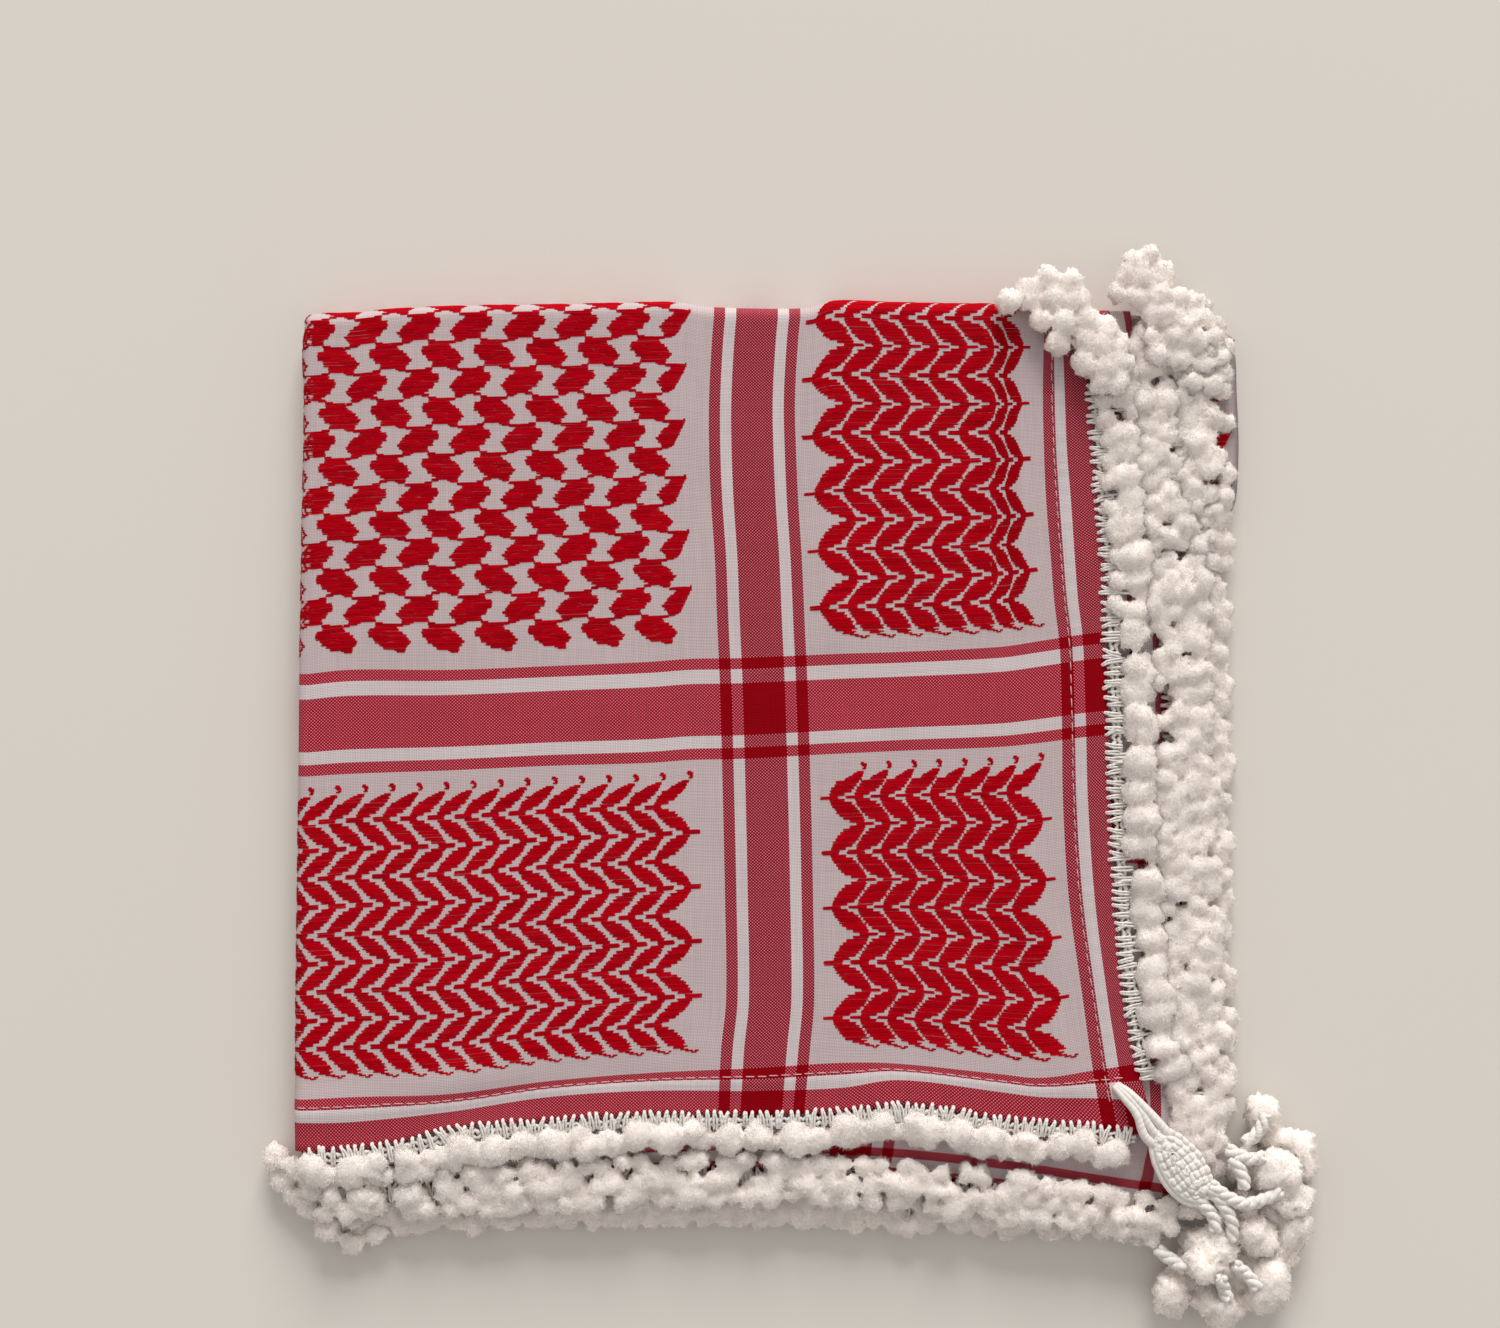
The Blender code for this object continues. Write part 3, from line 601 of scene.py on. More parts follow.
@dataclass(frozen=True)
class PomPomCotton:
    """Loose white cotton of the pompoms.

    The stored puff attribute holds how far out a point lies (low in the hollows, which are painted a touch
    lighter and warmer than the crowns as painted light), a tone and a kind.
    """

    name: str = "pompom_cotton"
    # colour of the hollows: painted light, a touch lighter and warmer than the crowns
    painted_hollow_light: Triple = (0.88, 0.79, 0.74)
    crown: Triple = (0.86, 0.785, 0.74)

    def build(self) -> Material:
        """Make the material."""
        graph = Graph(self.name)
        depth, tone, _, _ = graph.split("puff")
        place = graph.place()
        tuft = graph.noise(place, 900.0, 4.0)
        soft = graph.noise(place, 260.0, 2.0)
        # painted light: hollows of the cotton take a slightly lighter, warmer colour than the crowns; the
        # soft noise is random tone
        level = (depth * 0.8 + soft * 0.5 - 0.15).clamp()
        colour = graph.shade(graph.mix(level, self.painted_hollow_light, self.crown), tone * 0.10 + 0.92)
        graph.bump(tuft * 0.65 + soft * 0.35, 0.0018, 0.9)
        graph.shader.subsurface_method = "BURLEY"
        graph.finish(colour, 1.0, Specular_IOR_Level=0.0, Subsurface_Weight=0.9,
                     Subsurface_Radius=(1.0, 0.95, 0.9), Subsurface_Scale=0.006)
        return graph.material


@dataclass(frozen=True)
class CottonFuzz:
    """Loose fibres that stand out of the pompoms."""

    name: str = "cotton_fuzz"
    light: Triple = (0.90, 0.86, 0.82)
    shade: Triple = (0.85, 0.805, 0.765)

    def build(self) -> Material:
        """Make the material."""
        graph = Graph(self.name)
        _, tone, _, _ = graph.split("puff")
        graph.finish(graph.mix(tone, self.shade, self.light), 1.0, Sheen_Weight=0.2, Sheen_Roughness=0.5,
                     Specular_IOR_Level=0.0)
        return graph.material


@dataclass(frozen=True)
class CrochetYarn:
    """Twisted white cotton yarn of the crochet work and the hem stitches."""

    name: str = "crochet_yarn"
    shade: Triple = (0.80, 0.74, 0.69)
    light: Triple = (0.90, 0.855, 0.81)

    def build(self) -> Material:
        """Make the material."""
        graph = Graph(self.name)
        along, tone, _, _ = graph.split("puff")
        # painted shade: the twist is drawn lighter on the plies' ridges and darker in the grooves between
        # them; tone and noise are random
        ply_relief_and_shade = (along * 5.2 + graph.noise(graph.place(), 500.0) * 1.5).maths("SINE") * 0.5 + 0.5
        level = (ply_relief_and_shade * 0.35 + tone * 0.25 + graph.noise(graph.place(), 350.0) * 0.6).clamp()
        graph.bump(ply_relief_and_shade, 0.0002, 0.5)
        graph.finish(graph.mix(level, self.shade, self.light), 0.8, Sheen_Weight=0.2, Sheen_Roughness=0.5,
                     Specular_IOR_Level=0.3)
        return graph.material


@dataclass(frozen=True)
class PaleTable:
    """Matt pale table top."""

    name: str = "pale_table"
    light: Triple = (0.80, 0.748, 0.69)
    shade: Triple = (0.78, 0.728, 0.67)

    def build(self) -> Material:
        """Make the material."""
        graph = Graph(self.name)
        cloudy = graph.noise(graph.place(), 3.0, 4.0)
        graph.finish(graph.mix(cloudy, self.shade, self.light), 0.75)
        return graph.material


def once(finish: Any) -> Any:
    """Field whose material is built when the scarf's finishes are made."""
    return field(default_factory=finish.build)


@dataclass
class Finishes:
    """The scarf's materials, each made once."""

    cloth: Material = once(WovenCotton())
    floats: Material = once(FloatYarn())
    cotton: Material = once(PomPomCotton())
    yarn: Material = once(CrochetYarn())
    thread: Material = once(CrochetYarn("sewing_thread", (0.50, 0.16, 0.18), (0.78, 0.50, 0.50)))
    fuzz: Material = once(CottonFuzz())


# ---- cloth plan


@dataclass(frozen=True)
class KeyLine:
    """A thread or pick whose course over the folded scarf is known."""

    thread: float
    points: Points


def course(along: Sequence[float], *offsets: float) -> Points:
    """Line through offsets at known places along it."""
    return tuple(zip(along, offsets))


LOWER = (-153.8, -142.5, -123.8, -105.0, -67.5, -30.0, -3.8)
UPPER = (60.0, 82.5, 101.2, 120.0, 142.5, 155.6)
UPRIGHT = (*LOWER, 30.0, 45.0, *UPPER)
STRAIGHT = (-148.1, -123.8, -105.0, -67.5, -30.0, 12.8, 37.5, *UPPER)
LEFT, RIGHT = (-131.2, -93.8, -56.2, -18.8), (52.5, 75.0, 112.5, 127.5)
LEFT_FOLD = (
    (-161.2, -152.6), (-112.5, -152.4), (-67.5, -151.9), (-22.5, -151.3), (26.2, -150.8), (75.0, -150.0),
    (120.0, -149.2), (140.6, -150.0), (146.2, -149.6), (152.6, -148.9))
TOP_FOLD = (
    (-150.0, 152.2), (-145.5, 153.2), (-131.2, 153.6), (-117.8, 154.9), (-102.8, 155.8), (-82.5, 156.4),
    (-52.5, 156.8), (-22.5, 157.5), (-7.5, 157.5), (1.9, 156.0), (22.5, 155.2), (41.2, 155.6),
    (49.5, 158.1), (75.0, 157.5), (112.5, 156.8), (144.4, 156.4), (175.0, 156.0))
RIGHT_EDGE = course(UPRIGHT, 169.1, 166.1, 161.6, 158.2, 154.5, 152.6, 151.9, 150.8, 150.4, 150.0, 147.4,
    146.2, 144.8, 143.6, 143.2)
BOTTOM_EDGE = (
    (-152.6, -160.1), (-131.2, -159.4), (-112.5, -156.8), (-93.8, -152.2), (-56.2, -148.9),
    (-18.8, -146.6), (-3.8, -146.6), (22.5, -146.6), (52.5, -145.5), (75.0, -142.9), (93.8, -144.8),
    (112.5, -148.1), (127.5, -149.6), (146.2, -150.8), (168.8, -153.8))
SECOND_RIGHT = (
    (-186.0, 176.0), (-150.0, 181.0), (-105.0, 178.5), (-30.0, 175.5), (60.0, 171.5), (120.0, 166.5),
    (158.0, 161.5))
SECOND_BOTTOM = (
    (-153.0, -174.5), (-100.0, -173.6), (0.0, -168.4), (67.0, -170.6), (120.0, -176.2), (150.0, -181.0),
    (178.0, -185.0))
CORE_RIGHT = (
    (-180.0, 184.0), (-100.0, 185.0), (30.0, 184.5), (62.0, 186.0), (80.0, 200.2), (141.0, 200.6))
CORE_BOTTOM = ((-153.0, -176.8), (-60.0, -176.0), (40.0, -175.0), (110.0, -178.0), (184.0, -180.0))


def shifted(points: Points, by: float) -> Points:
    """The same line moved sideways by an amount."""
    return tuple((along, offset + by) for along, offset in points)


@dataclass(frozen=True)
class Crease:
    """A soft ridge (+) or trough (-) along a straight run."""

    x0: float
    y0: float
    x1: float
    y1: float
    width: float
    height: float


@dataclass(frozen=True)
class Pleat:
    """A pushed-up fold of the top layer: gentle on its left, steep on its right."""

    course: Points = ((10.0, 105.6), (34.0, 109.0), (60.0, 110.2), (101.0, 110.2), (131.0, 110.6),
                      (147.0, 108.6), (158.0, 106.4))
    strength: Points = ((18.0, 0.0), (40.0, 0.5), (60.0, 0.9), (90.0, 1.0), (147.0, 1.0), (160.0, 0.8))
    profile: Points = ((-13.0, 0.0), (-7.0, 0.5), (-2.5, 1.9), (-0.4, 2.2), (0.9, 1.6), (2.4, 0.1),
                       (4.0, -0.45), (7.0, -0.25), (10.0, 0.25), (14.0, 0.0))

    def height(self, x: Array, y: Array) -> Array:
        """Height that the fold adds at plan places."""
        return spline(self.profile, x - spline(self.course, y)) * spline(self.strength, y)


WARPS = (
    KeyLine(PLATE_THREAD, shifted(LEFT_FOLD, LEFT_REACH)),
    KeyLine(252.0, course(STRAIGHT, 6.8, 7.9, 9.8, 9.4, 8.6, 7.5, 6.4, 5.6, 4.1, 3.4, 3.4, 4.5, 5.6)),
    KeyLine(306.0, course(STRAIGHT, 39.0, 41.2, 42.8, 42.4, 41.6, 40.3, 39.2, 38.2, 36.8, 36.0, 35.6,
        36.8, 38.2)),
    KeyLine(414.4, course((*LOWER, 12.8, 30.0, 45.0, *UPPER), 115.4, 114.1, 112.5, 111.2, 107.6, 105.8,
        105.3, 105.4, 108.6, 110.6, 110.6, 110.4, 110.2, 110.0, 109.0, 107.1)),
    KeyLine(447.0, course((*LOWER, 12.8, 34.0, *UPPER), 138.8, 136.7, 134.4, 132.2, 127.5, 125.4, 125.1,
        124.8, 124.9, 122.0, 120.8, 119.9, 119.6, 120.4, 121.5)),
    KeyLine(465.0, course((*LOWER, 26.2, 45.0, *UPPER), 151.5, 149.2, 146.2, 143.6, 138.4, 136.1, 135.8,
        135.0, 132.8, 131.6, 129.8, 129.0, 128.6, 129.0, 129.8)),
    KeyLine(480.0, course(UPRIGHT, 161.2, 159.0, 156.0, 153.0, 148.1, 145.5, 144.8, 143.6, 141.8, 140.6,
        139.1, 137.6, 136.9, 136.1, 135.8)),
    KeyLine(LAST_THREAD, RIGHT_EDGE))
PICKS = (
    KeyLine(PLATE_PICK, shifted(TOP_FOLD, -TOP_REACH)),
    KeyLine(237.0, course((-150.0, *LEFT, -3.8, 15.0, *RIGHT, 144.4, 151.9), 16.9, 18.8, 18.8, 20.2,
        21.8, 22.9, 23.2, 24.8, 25.5, 27.4, 29.6, 32.2, 33.0)),
    KeyLine(301.0, course((-150.0, *LEFT, -3.8, 15.0, *RIGHT, 144.4, 152.6), -21.4, -20.2, -18.9, -17.2,
        -16.1, -15.0, -14.6, -12.6, -11.6, -10.1, -8.6, -6.4, -5.6)),
    KeyLine(506.0, course((-152.6, *LEFT, -3.8, 22.5, *RIGHT, 146.2, 164.6), -142.5, -141.4, -140.2,
        -135.4, -132.4, -131.6, -130.5, -128.6, -129.0, -132.8, -134.2, -131.6, -129.0)),
    KeyLine(521.0, course((-152.6, *LEFT, 22.5, *RIGHT, 146.2, 161.2), -151.1, -150.8, -147.0, -141.4,
        -139.1, -139.1, -138.0, -135.0, -139.5, -141.4, -141.8, -142.5)),
    KeyLine(LAST_PICK, BOTTOM_EDGE))
CREASES = (
    Crease(98, 156, 100, 110, 6.0, -0.5), Crease(50, 62, 58, -28, 10.0, 0.9),
    Crease(82, 44, 76, -20, 8.0, -0.7), Crease(104, 40, 112, -24, 9.0, 0.8),
    Crease(-150, -148, -70, -132, 8.0, 1.0), Crease(-96, -150, -30, -136, 6.5, -0.6),
    Crease(60, -142, 92, -142, 8.0, 1.3), Crease(-110, 150, -96, 40, 11.0, 0.5),
    Crease(-60, 140, -48, 30, 9.0, -0.35), Crease(-40, -30, -52, -120, 12.0, 0.5),
    Crease(118, -36, 140, -140, 7.0, 0.9), Crease(20, 150, 18, -140, 7.0, 0.3),
    Crease(-140, 8, -30, 4, 9.0, 0.35), Crease(88, -60, 70, -128, 9.0, -0.4),
    Crease(146, 60, 150, 0, 4.0, 0.5))


@dataclass(frozen=True)
class ClothPlan:
    """Where each thread of the top layer lies, seen from above, and how high."""

    stack: float = 15.5
    edge_sag: float = 0.8
    hem_rise: float = 0.35
    hem_thread: float = 472.6
    hem_pick: float = 512.6
    pucker: float = 0.10
    warps: Tuple[KeyLine, ...] = WARPS
    picks: Tuple[KeyLine, ...] = PICKS
    creases: Tuple[Crease, ...] = CREASES

    pleat: Pleat = field(default_factory=Pleat)

    @staticmethod
    def between(lines: Sequence[KeyLine], thread: Array, along: Array) -> Array:
        """Read the course of a thread between two key lines.

        Args:
            lines: key lines in order of their threads.
            thread: thread numbers.
            along: places along the threads.

        Returns:
            Offset of each thread there.
        """
        known = np.array([line.thread for line in lines])
        courses = np.stack([spline(line.points, along) for line in lines])
        low = np.clip(np.searchsorted(known, thread, side="right") - 1, 0, len(known) - 2)
        share = (thread - known[low]) / (known[low + 1] - known[low])
        flat = np.arange(len(thread))
        return courses[low, flat] * (1.0 - share) + courses[low + 1, flat] * share

    def lay(self, a: Array, b: Array) -> Tuple[Array, Array]:
        """Plan place of flat cloth at thread a and pick b."""
        a, b = np.asarray(a, dtype=float).ravel(), np.asarray(b, dtype=float).ravel()
        x = -148.0 + 0.61 * a
        y = 152.0 - 0.58 * b
        for _ in range(6):
            x = self.between(self.warps, a, y)
            y = self.between(self.picks, b, x)
        return x, y

    def ridges(self, x: Array, y: Array) -> Array:
        """Sum of the ridges and troughs at places of the cloth."""
        total = self.pleat.height(x, y)
        for crease in self.creases:
            run = np.array([crease.x1 - crease.x0, crease.y1 - crease.y0])
            t = ((x - crease.x0) * run[0] + (y - crease.y0) * run[1]) / run.dot(run)
            t = np.clip(t, 0.0, 1.0)
            away = np.hypot(x - crease.x0 - run[0] * t, y - crease.y0 - run[1] * t)
            fade = 0.75 + 0.25 * np.sin(t * 9.0 + crease.x0)
            total += crease.height * fade * np.exp(-(away / crease.width) ** 2)
        return total

    @staticmethod
    def ripple(x: Array, y: Array) -> Array:
        """Low uneven waves of pressed cotton."""
        wave = 0.10 * np.sin(x / 9.0 + 1.3 * np.sin(y / 23.0)) * np.sin(y / 31.0 + 0.6)
        wave += 0.08 * np.sin(y / 7.5 + 1.1 * np.sin(x / 19.0)) * np.sin(x / 27.0 + 1.7)
        return wave + 0.05 * np.sin((x + y) / 5.1 + np.sin(x / 13.0) * 2.0)

    def height(self, x: Array, y: Array, a: Array, b: Array) -> Array:
        """Height of the top layer's face."""
        near = np.minimum(spline(RIGHT_EDGE, y) - x, y - spline(BOTTOM_EDGE, x))
        sag = self.edge_sag * (1.0 - ease(near / 16.0))
        inner = 0.35 + 0.65 * ease(near / 14.0)
        hem = np.maximum(ease((a - self.hem_thread) / 1.3), ease((b - self.hem_pick) / 1.3))
        pucker = self.pucker * np.sin(y / 1.05) * np.exp(-((a - 476.0) / 4.5) ** 2)
        pucker += self.pucker * np.sin(x / 1.05) * np.exp(-((b - 517.0) / 4.5) ** 2)
        return (self.stack - sag + (self.ridges(x, y) + self.ripple(x, y)) * inner + self.hem_rise * hem
                + pucker * hem)


# ---- studio


@dataclass(frozen=True)
class Studio:
    """Pale table, soft light and the camera straight above."""

    aim: Tuple[float, float] = (18.75, 21.0)
    plane: float = 15.5
    frame_width: float = 562.5
    lens: float = 60.0
    sensor: float = 36.0
    table_width: float = 30000.0
    table_drop: float = 0.2
    lamp_place: Triple = (1300.0, 12200.0, 5200.0)
    lamp_side: float = 6200.0
    lamp_watts: float = 1700.0
    lamp_tint: Triple = (1.0, 0.985, 0.96)
    room_tint: Triple = (1.0, 0.985, 0.965)
    room_light: float = 0.49

    def build(self) -> None:
        """Make the camera, the light, the world and the table."""
        scene = bpy.context.scene
        camera = bpy.data.objects.new("camera", bpy.data.cameras.new("camera"))
        camera.data.lens = self.lens
        camera.data.sensor_width = self.sensor
        camera.data.sensor_fit = "HORIZONTAL"
        rise = self.plane + self.frame_width * self.lens / self.sensor
        camera.location = (self.aim[0] * MM, self.aim[1] * MM, rise * MM)
        scene.collection.objects.link(camera)
        scene.camera = camera
        scene.view_settings.view_transform = "Standard"
        self.lamp()
        world = bpy.data.worlds.new("soft_room")
        world.use_nodes = True
        room = world.node_tree.nodes["Background"].inputs
        room["Color"].default_value = (*self.room_tint, 1.0)
        room["Strength"].default_value = self.room_light
        scene.world = world
        self.table()

    def lamp(self) -> None:
        """Hang a square soft light that faces the scarf."""
        data = bpy.data.lights.new("key", "AREA")
        data.shape = "SQUARE"
        data.size = self.lamp_side * MM
        data.energy = self.lamp_watts
        data.color = self.lamp_tint
        lamp = bpy.data.objects.new("key", data)
        lamp.location = tuple(v * MM for v in self.lamp_place)
        lamp.rotation_euler = lamp.location.to_track_quat("Z", "Y").to_euler()
        bpy.context.scene.collection.objects.link(lamp)

    def table(self) -> None:
        """Lay the table top just under the scarf."""
        half, turns = self.table_width / 2, ((-1, -1), (1, -1), (1, 1), (-1, 1))
        corners = np.array([(x * half, y * half, -self.table_drop) for x, y in turns])
        bundle = Bundle()
        bundle.add(corners, np.array([[0, 1, 2, 3]]), np.zeros(3))
        bundle.make("table_top", "plain", PaleTable().build())


# ---- cloth layers


def shell(surface: Array, values: Array, faces: Array, wall: float) -> Tuple[Array, Array, Array]:
    """Closed wall under a surface.

    Args:
        surface: (n, 3) points of the outer face.
        values: (n, 3) point values.
        faces: (m, 4) quads of the outer face; a corner may be used twice.
        wall: thickness of the cloth.

    Returns:
        Points, values and quads of the closed wall.
    """
    count = len(surface)
    first, second, third, fourth = (surface[faces[:, k]] for k in range(4))
    normal = np.cross(third - first, fourth - second)
    vertex = np.zeros_like(surface)
    for k in range(4):
        np.add.at(vertex, faces[:, k], normal)
    under = surface - unit(vertex) * wall
    edges: Dict[Tuple[int, int], bool] = {}
    for quad in faces.tolist():
        for p, q in zip(quad, quad[1:] + quad[:1]):
            if p != q:
                edges[(p, q)] = True
    rim = [(q, p, p + count, q + count) for p, q in edges if (q, p) not in edges]
    every = np.concatenate([faces, faces[:, ::-1] + count, np.array(rim)])
    return np.concatenate([surface, under]), np.concatenate([values, values]), every


def clean_quads(bundle: Bundle, points: Array, faces: Array, values: Array) -> None:
    """Add quads to a bundle, with those that have a doubled corner as triangles."""
    doubled = np.zeros(len(faces), dtype=bool)
    triangles = []
    for row, quad in enumerate(faces.tolist()):
        if len(set(quad)) < 4:
            doubled[row] = True
            kept = [v for k, v in enumerate(quad) if v != quad[k - 1]]
            if len(kept) == 3:
                triangles.append(kept)
    first = bundle.add(points, faces[~doubled], values)
    if triangles:
        bundle.faces.append(np.array(triangles) + first)


@dataclass
class TopCloth:
    """Top layer with its patterned fields, rolled over the left and upper folds."""

    plan: ClothPlan
    finishes: Finishes
    wall: float = 1.0
    left_deep: float = 3.95
    left_turn: float = 168.0
    top_turn: float = 172.0
    floor: float = 0.6
    corner_run: float = 20.0
    roll_rows: int = 14
    fan_steps: int = 9
    thread_step: float = 3.5
    pick_step: float = 3.7
    thread_marks: Floats = (252, 259, 266, 292, 299, 306, 465, 472.6, 473.9, 480)
    pick_marks: Floats = (237, 244, 253, 286, 294, 301, 506, 512.6, 513.9, 521)
    stitch: float = 3.4
    stitch_gap: float = 1.0
    stitch_thread: float = 471.4
    stitch_pick: float = 511.4

    def roll(self, a: Array, b: Array) -> Tuple[Array, Array, Array, Array, Array]:
        """Shape of the roll that a thread place lies on.

        Args:
            a: thread numbers.
            b: pick numbers.

        Returns:
            Heading x, heading y, arc past the plate, half width and half height.
        """
        left = np.clip(PLATE_THREAD - a, 0.0, None) * WARP_PITCH
        top = np.clip(PLATE_PICK - b, 0.0, None) * PICK_PITCH
        arc = np.hypot(left, top)
        safe = np.maximum(arc, 1e-9)
        head_x, head_y = -left / safe, top / safe
        x, y = self.plan.lay(np.maximum(a, PLATE_THREAD), np.maximum(b, PLATE_PICK))
        rise = self.plan.height(x, y, a, b)
        tall = (rise - self.floor) / 2.0
        near_top = 1.0 - ease((b - PLATE_PICK) * PICK_PITCH / self.corner_run)
        left_deep = self.left_deep + (tall - self.left_deep) * near_top
        share = head_y ** 2
        wide = LEFT_REACH + (TOP_REACH - LEFT_REACH) * share
        deep = left_deep + (tall - left_deep) * share
        return head_x, head_y, arc, wide, deep

    @staticmethod
    def turn_of(arc: Array, wide: Array, deep: Array) -> Array:
        """Turn of a half ellipse at an arc length from its top.

        Args:
            arc: arc lengths.
            wide: half widths.
            deep: half heights.

        Returns:
            The parameter in radians, 0 at the top.
        """
        steps = np.linspace(0.0, math.pi, 65)
        speed = np.hypot(wide[:, None] * np.cos(steps), deep[:, None] * np.sin(steps))
        length = np.zeros_like(speed)
        length[:, 1:] = np.cumsum((speed[:, 1:] + speed[:, :-1]) / 2 * (steps[1] - steps[0]), axis=1)
        return np.array([np.interp(one, row, steps) for one, row in zip(arc, length)])

    def surface(self, a: Array, b: Array, lift: Union[Array, float] = 0.0) -> Array:
        """Places on the outer face of the cloth.

        Args:
            a: thread numbers.
            b: pick numbers.
            lift: height above the face.

        Returns:
            (n, 3) places.
        """
        a, b = np.asarray(a, dtype=float).ravel(), np.asarray(b, dtype=float).ravel()
        lift = np.broadcast_to(np.asarray(lift, dtype=float).ravel(), a.shape)
        x, y = self.plan.lay(np.maximum(a, PLATE_THREAD), np.maximum(b, PLATE_PICK))
        z = self.plan.height(x, y, a, b)
        place = beside(x, y, z + lift)
        rolled = (a < PLATE_THREAD) | (b < PLATE_PICK)
        if rolled.any():
            head_x, head_y, arc, wide, deep = self.roll(a[rolled], b[rolled])
            turn = self.turn_of(arc, wide, deep)
            out = (wide + lift[rolled]) * np.sin(turn)
            place[rolled, 0] = x[rolled] + head_x * out
            place[rolled, 1] = y[rolled] + head_y * out
            place[rolled, 2] = z[rolled] - deep + (deep + lift[rolled]) * np.cos(turn)
        return place

    def roll_length(self, a: float, b: float, heading: float) -> float:
        """Arc from the plate to the end of the roll at a place of its border."""
        a_off, b_off = -math.cos(heading) * 0.01, math.sin(heading) * 0.01
        shape = self.roll(np.array([a - a_off / WARP_PITCH]), np.array([b - b_off / PICK_PITCH]))
        wide, deep = float(shape[3][0]), float(shape[4][0])
        last = math.radians(self.left_turn + (self.top_turn - self.left_turn) * math.sin(heading))
        steps = np.linspace(0.0, last, 65)
        speed = np.hypot(wide * np.cos(steps), deep * np.sin(steps))
        return float(np.sum((speed[1:] + speed[:-1]) / 2) * (steps[1] - steps[0]))

    @staticmethod
    def lines(first: float, last: float, marks: Sequence[float], pitch: float) -> Array:
        """Grid lines at a pitch, with one on each mark."""
        stops = [first] + [m for m in marks if first < m < last] + [last]
        made: List[float] = []
        for low, high in zip(stops, stops[1:]):
            pieces = max(1, round((high - low) / pitch))
            made += [low + (high - low) * k / pieces for k in range(pieces)]
        return np.array(made + [last])

    def build_cloth(self) -> Thing:
        """Make the cloth's wall."""
        columns = self.lines(PLATE_THREAD, LAST_THREAD + EDGE_TURN / WARP_PITCH, self.thread_marks,
                             self.thread_step)
        rows = self.lines(PLATE_PICK, LAST_PICK + EDGE_TURN / PICK_PITCH, self.pick_marks, self.pick_step)
        a, b = np.meshgrid(columns, rows, indexing="ij")
        a_all, b_all = [a.ravel()], [b.ravel()]
        n_rows = len(rows)
        faces = [grid_faces(len(columns), n_rows)]
        border = [(0, j, math.pi) for j in range(n_rows - 1, 0, -1)]
        border += [(0, 0, math.pi - math.pi / 2 * k / (self.fan_steps - 1))
                   for k in range(self.fan_steps)]
        border += [(i, 0, math.pi / 2) for i in range(1, len(columns))]
        count = a.size
        chains = []
        for i, j, heading in border:
            length = self.roll_length(columns[i], rows[j], heading)
            arc = length * np.arange(1, self.roll_rows + 1) / self.roll_rows
            a_all.append(columns[i] + math.cos(heading) * arc / WARP_PITCH)
            b_all.append(rows[j] - math.sin(heading) * arc / PICK_PITCH)
            chains.append([i * n_rows + j] + list(range(count, count + self.roll_rows)))
            count += self.roll_rows
        strips = np.array(chains)
        quads = np.stack([strips[:-1, :-1], strips[1:, :-1], strips[1:, 1:], strips[:-1, 1:]], axis=-1)
        faces.append(quads.reshape(-1, 4))
        a_all, b_all = np.concatenate(a_all), np.concatenate(b_all)
        surface = self.surface(a_all, b_all)
        values = beside(a_all, b_all, np.zeros_like(a_all))
        points, values, quads = shell(surface, values, np.concatenate(faces), self.wall)
        bundle = Bundle()
        clean_quads(bundle, points, quads, values)
        return bundle.piece("top_cloth", "threads", self.finishes.cloth, Slot.CLOTH, "cloth_top")

    def build_stitches(self) -> Thing:
        """Run the hem's machine stitches along both hems."""
        chance = np.random.default_rng(SEED + 5)
        knots = []
        step = self.stitch + self.stitch_gap
        for upright in (True, False):
            reach = (LAST_PICK - 10.0) * PICK_PITCH if upright else (LAST_THREAD - 6.0) * WARP_PITCH
            for k in range(int(reach / step)):
                start = k * step + chance.uniform(-0.15, 0.15)
                marks = start + np.array([0.0, 0.12, 0.5, 0.88, 1.0]) * self.stitch
                drift = chance.normal(0.0, 0.12)
                ramp = np.linspace(-0.15, 0.15, 5)
                if upright:
                    b = PLATE_PICK - 4.0 + marks / PICK_PITCH
                    a = np.full(5, self.stitch_thread + drift) + ramp
                else:
                    a = PLATE_THREAD - 4.0 + marks / WARP_PITCH
                    b = np.full(5, self.stitch_pick + drift) + ramp
                knots.append(self.surface(a, b, (-0.15, 0.16, 0.28, 0.16, -0.15)))
        bundle = Bundle()
        bundle.add(*tubes(np.array(knots), (0.12, 0.2, 0.22, 0.2, 0.12), 6, 0.7), (0.0, 0.4, 0.0))
        return bundle.piece("hem_stitches", "puff", self.finishes.thread, Slot.YARN)


# ---- raised floats


FloatRun = Triple
SHORTEST_FLOAT = 0.9


@dataclass(frozen=True)
class Patch:
    """Threads and picks that a field of floats lies between."""

    a_low: float
    a_high: float
    b_low: float
    b_high: float

    def clip(self, runs: Sequence[FloatRun]) -> List[FloatRun]:
        """Keep what lies inside the field, joining floats that meet on a pick.

        Args:
            runs: (start thread, end thread, pick) of each float.

        Returns:
            The floats inside it.
        """
        rows: Dict[float, List[Tuple[float, float]]] = {}
        for start, end, pick in runs:
            start, end = max(start, self.a_low), min(end, self.a_high)
            if self.b_low <= pick <= self.b_high and end - start > SHORTEST_FLOAT:
                rows.setdefault(pick, []).append((start, end))
        kept = []
        for pick in sorted(rows):
            joined: List[List[float]] = []
            for start, end in sorted(rows[pick]):
                if joined and start <= joined[-1][1] + 0.2:
                    joined[-1][1] = max(joined[-1][1], end)
                else:
                    joined.append([start, end])
            kept += [(start, end, pick) for start, end in joined]
        return kept


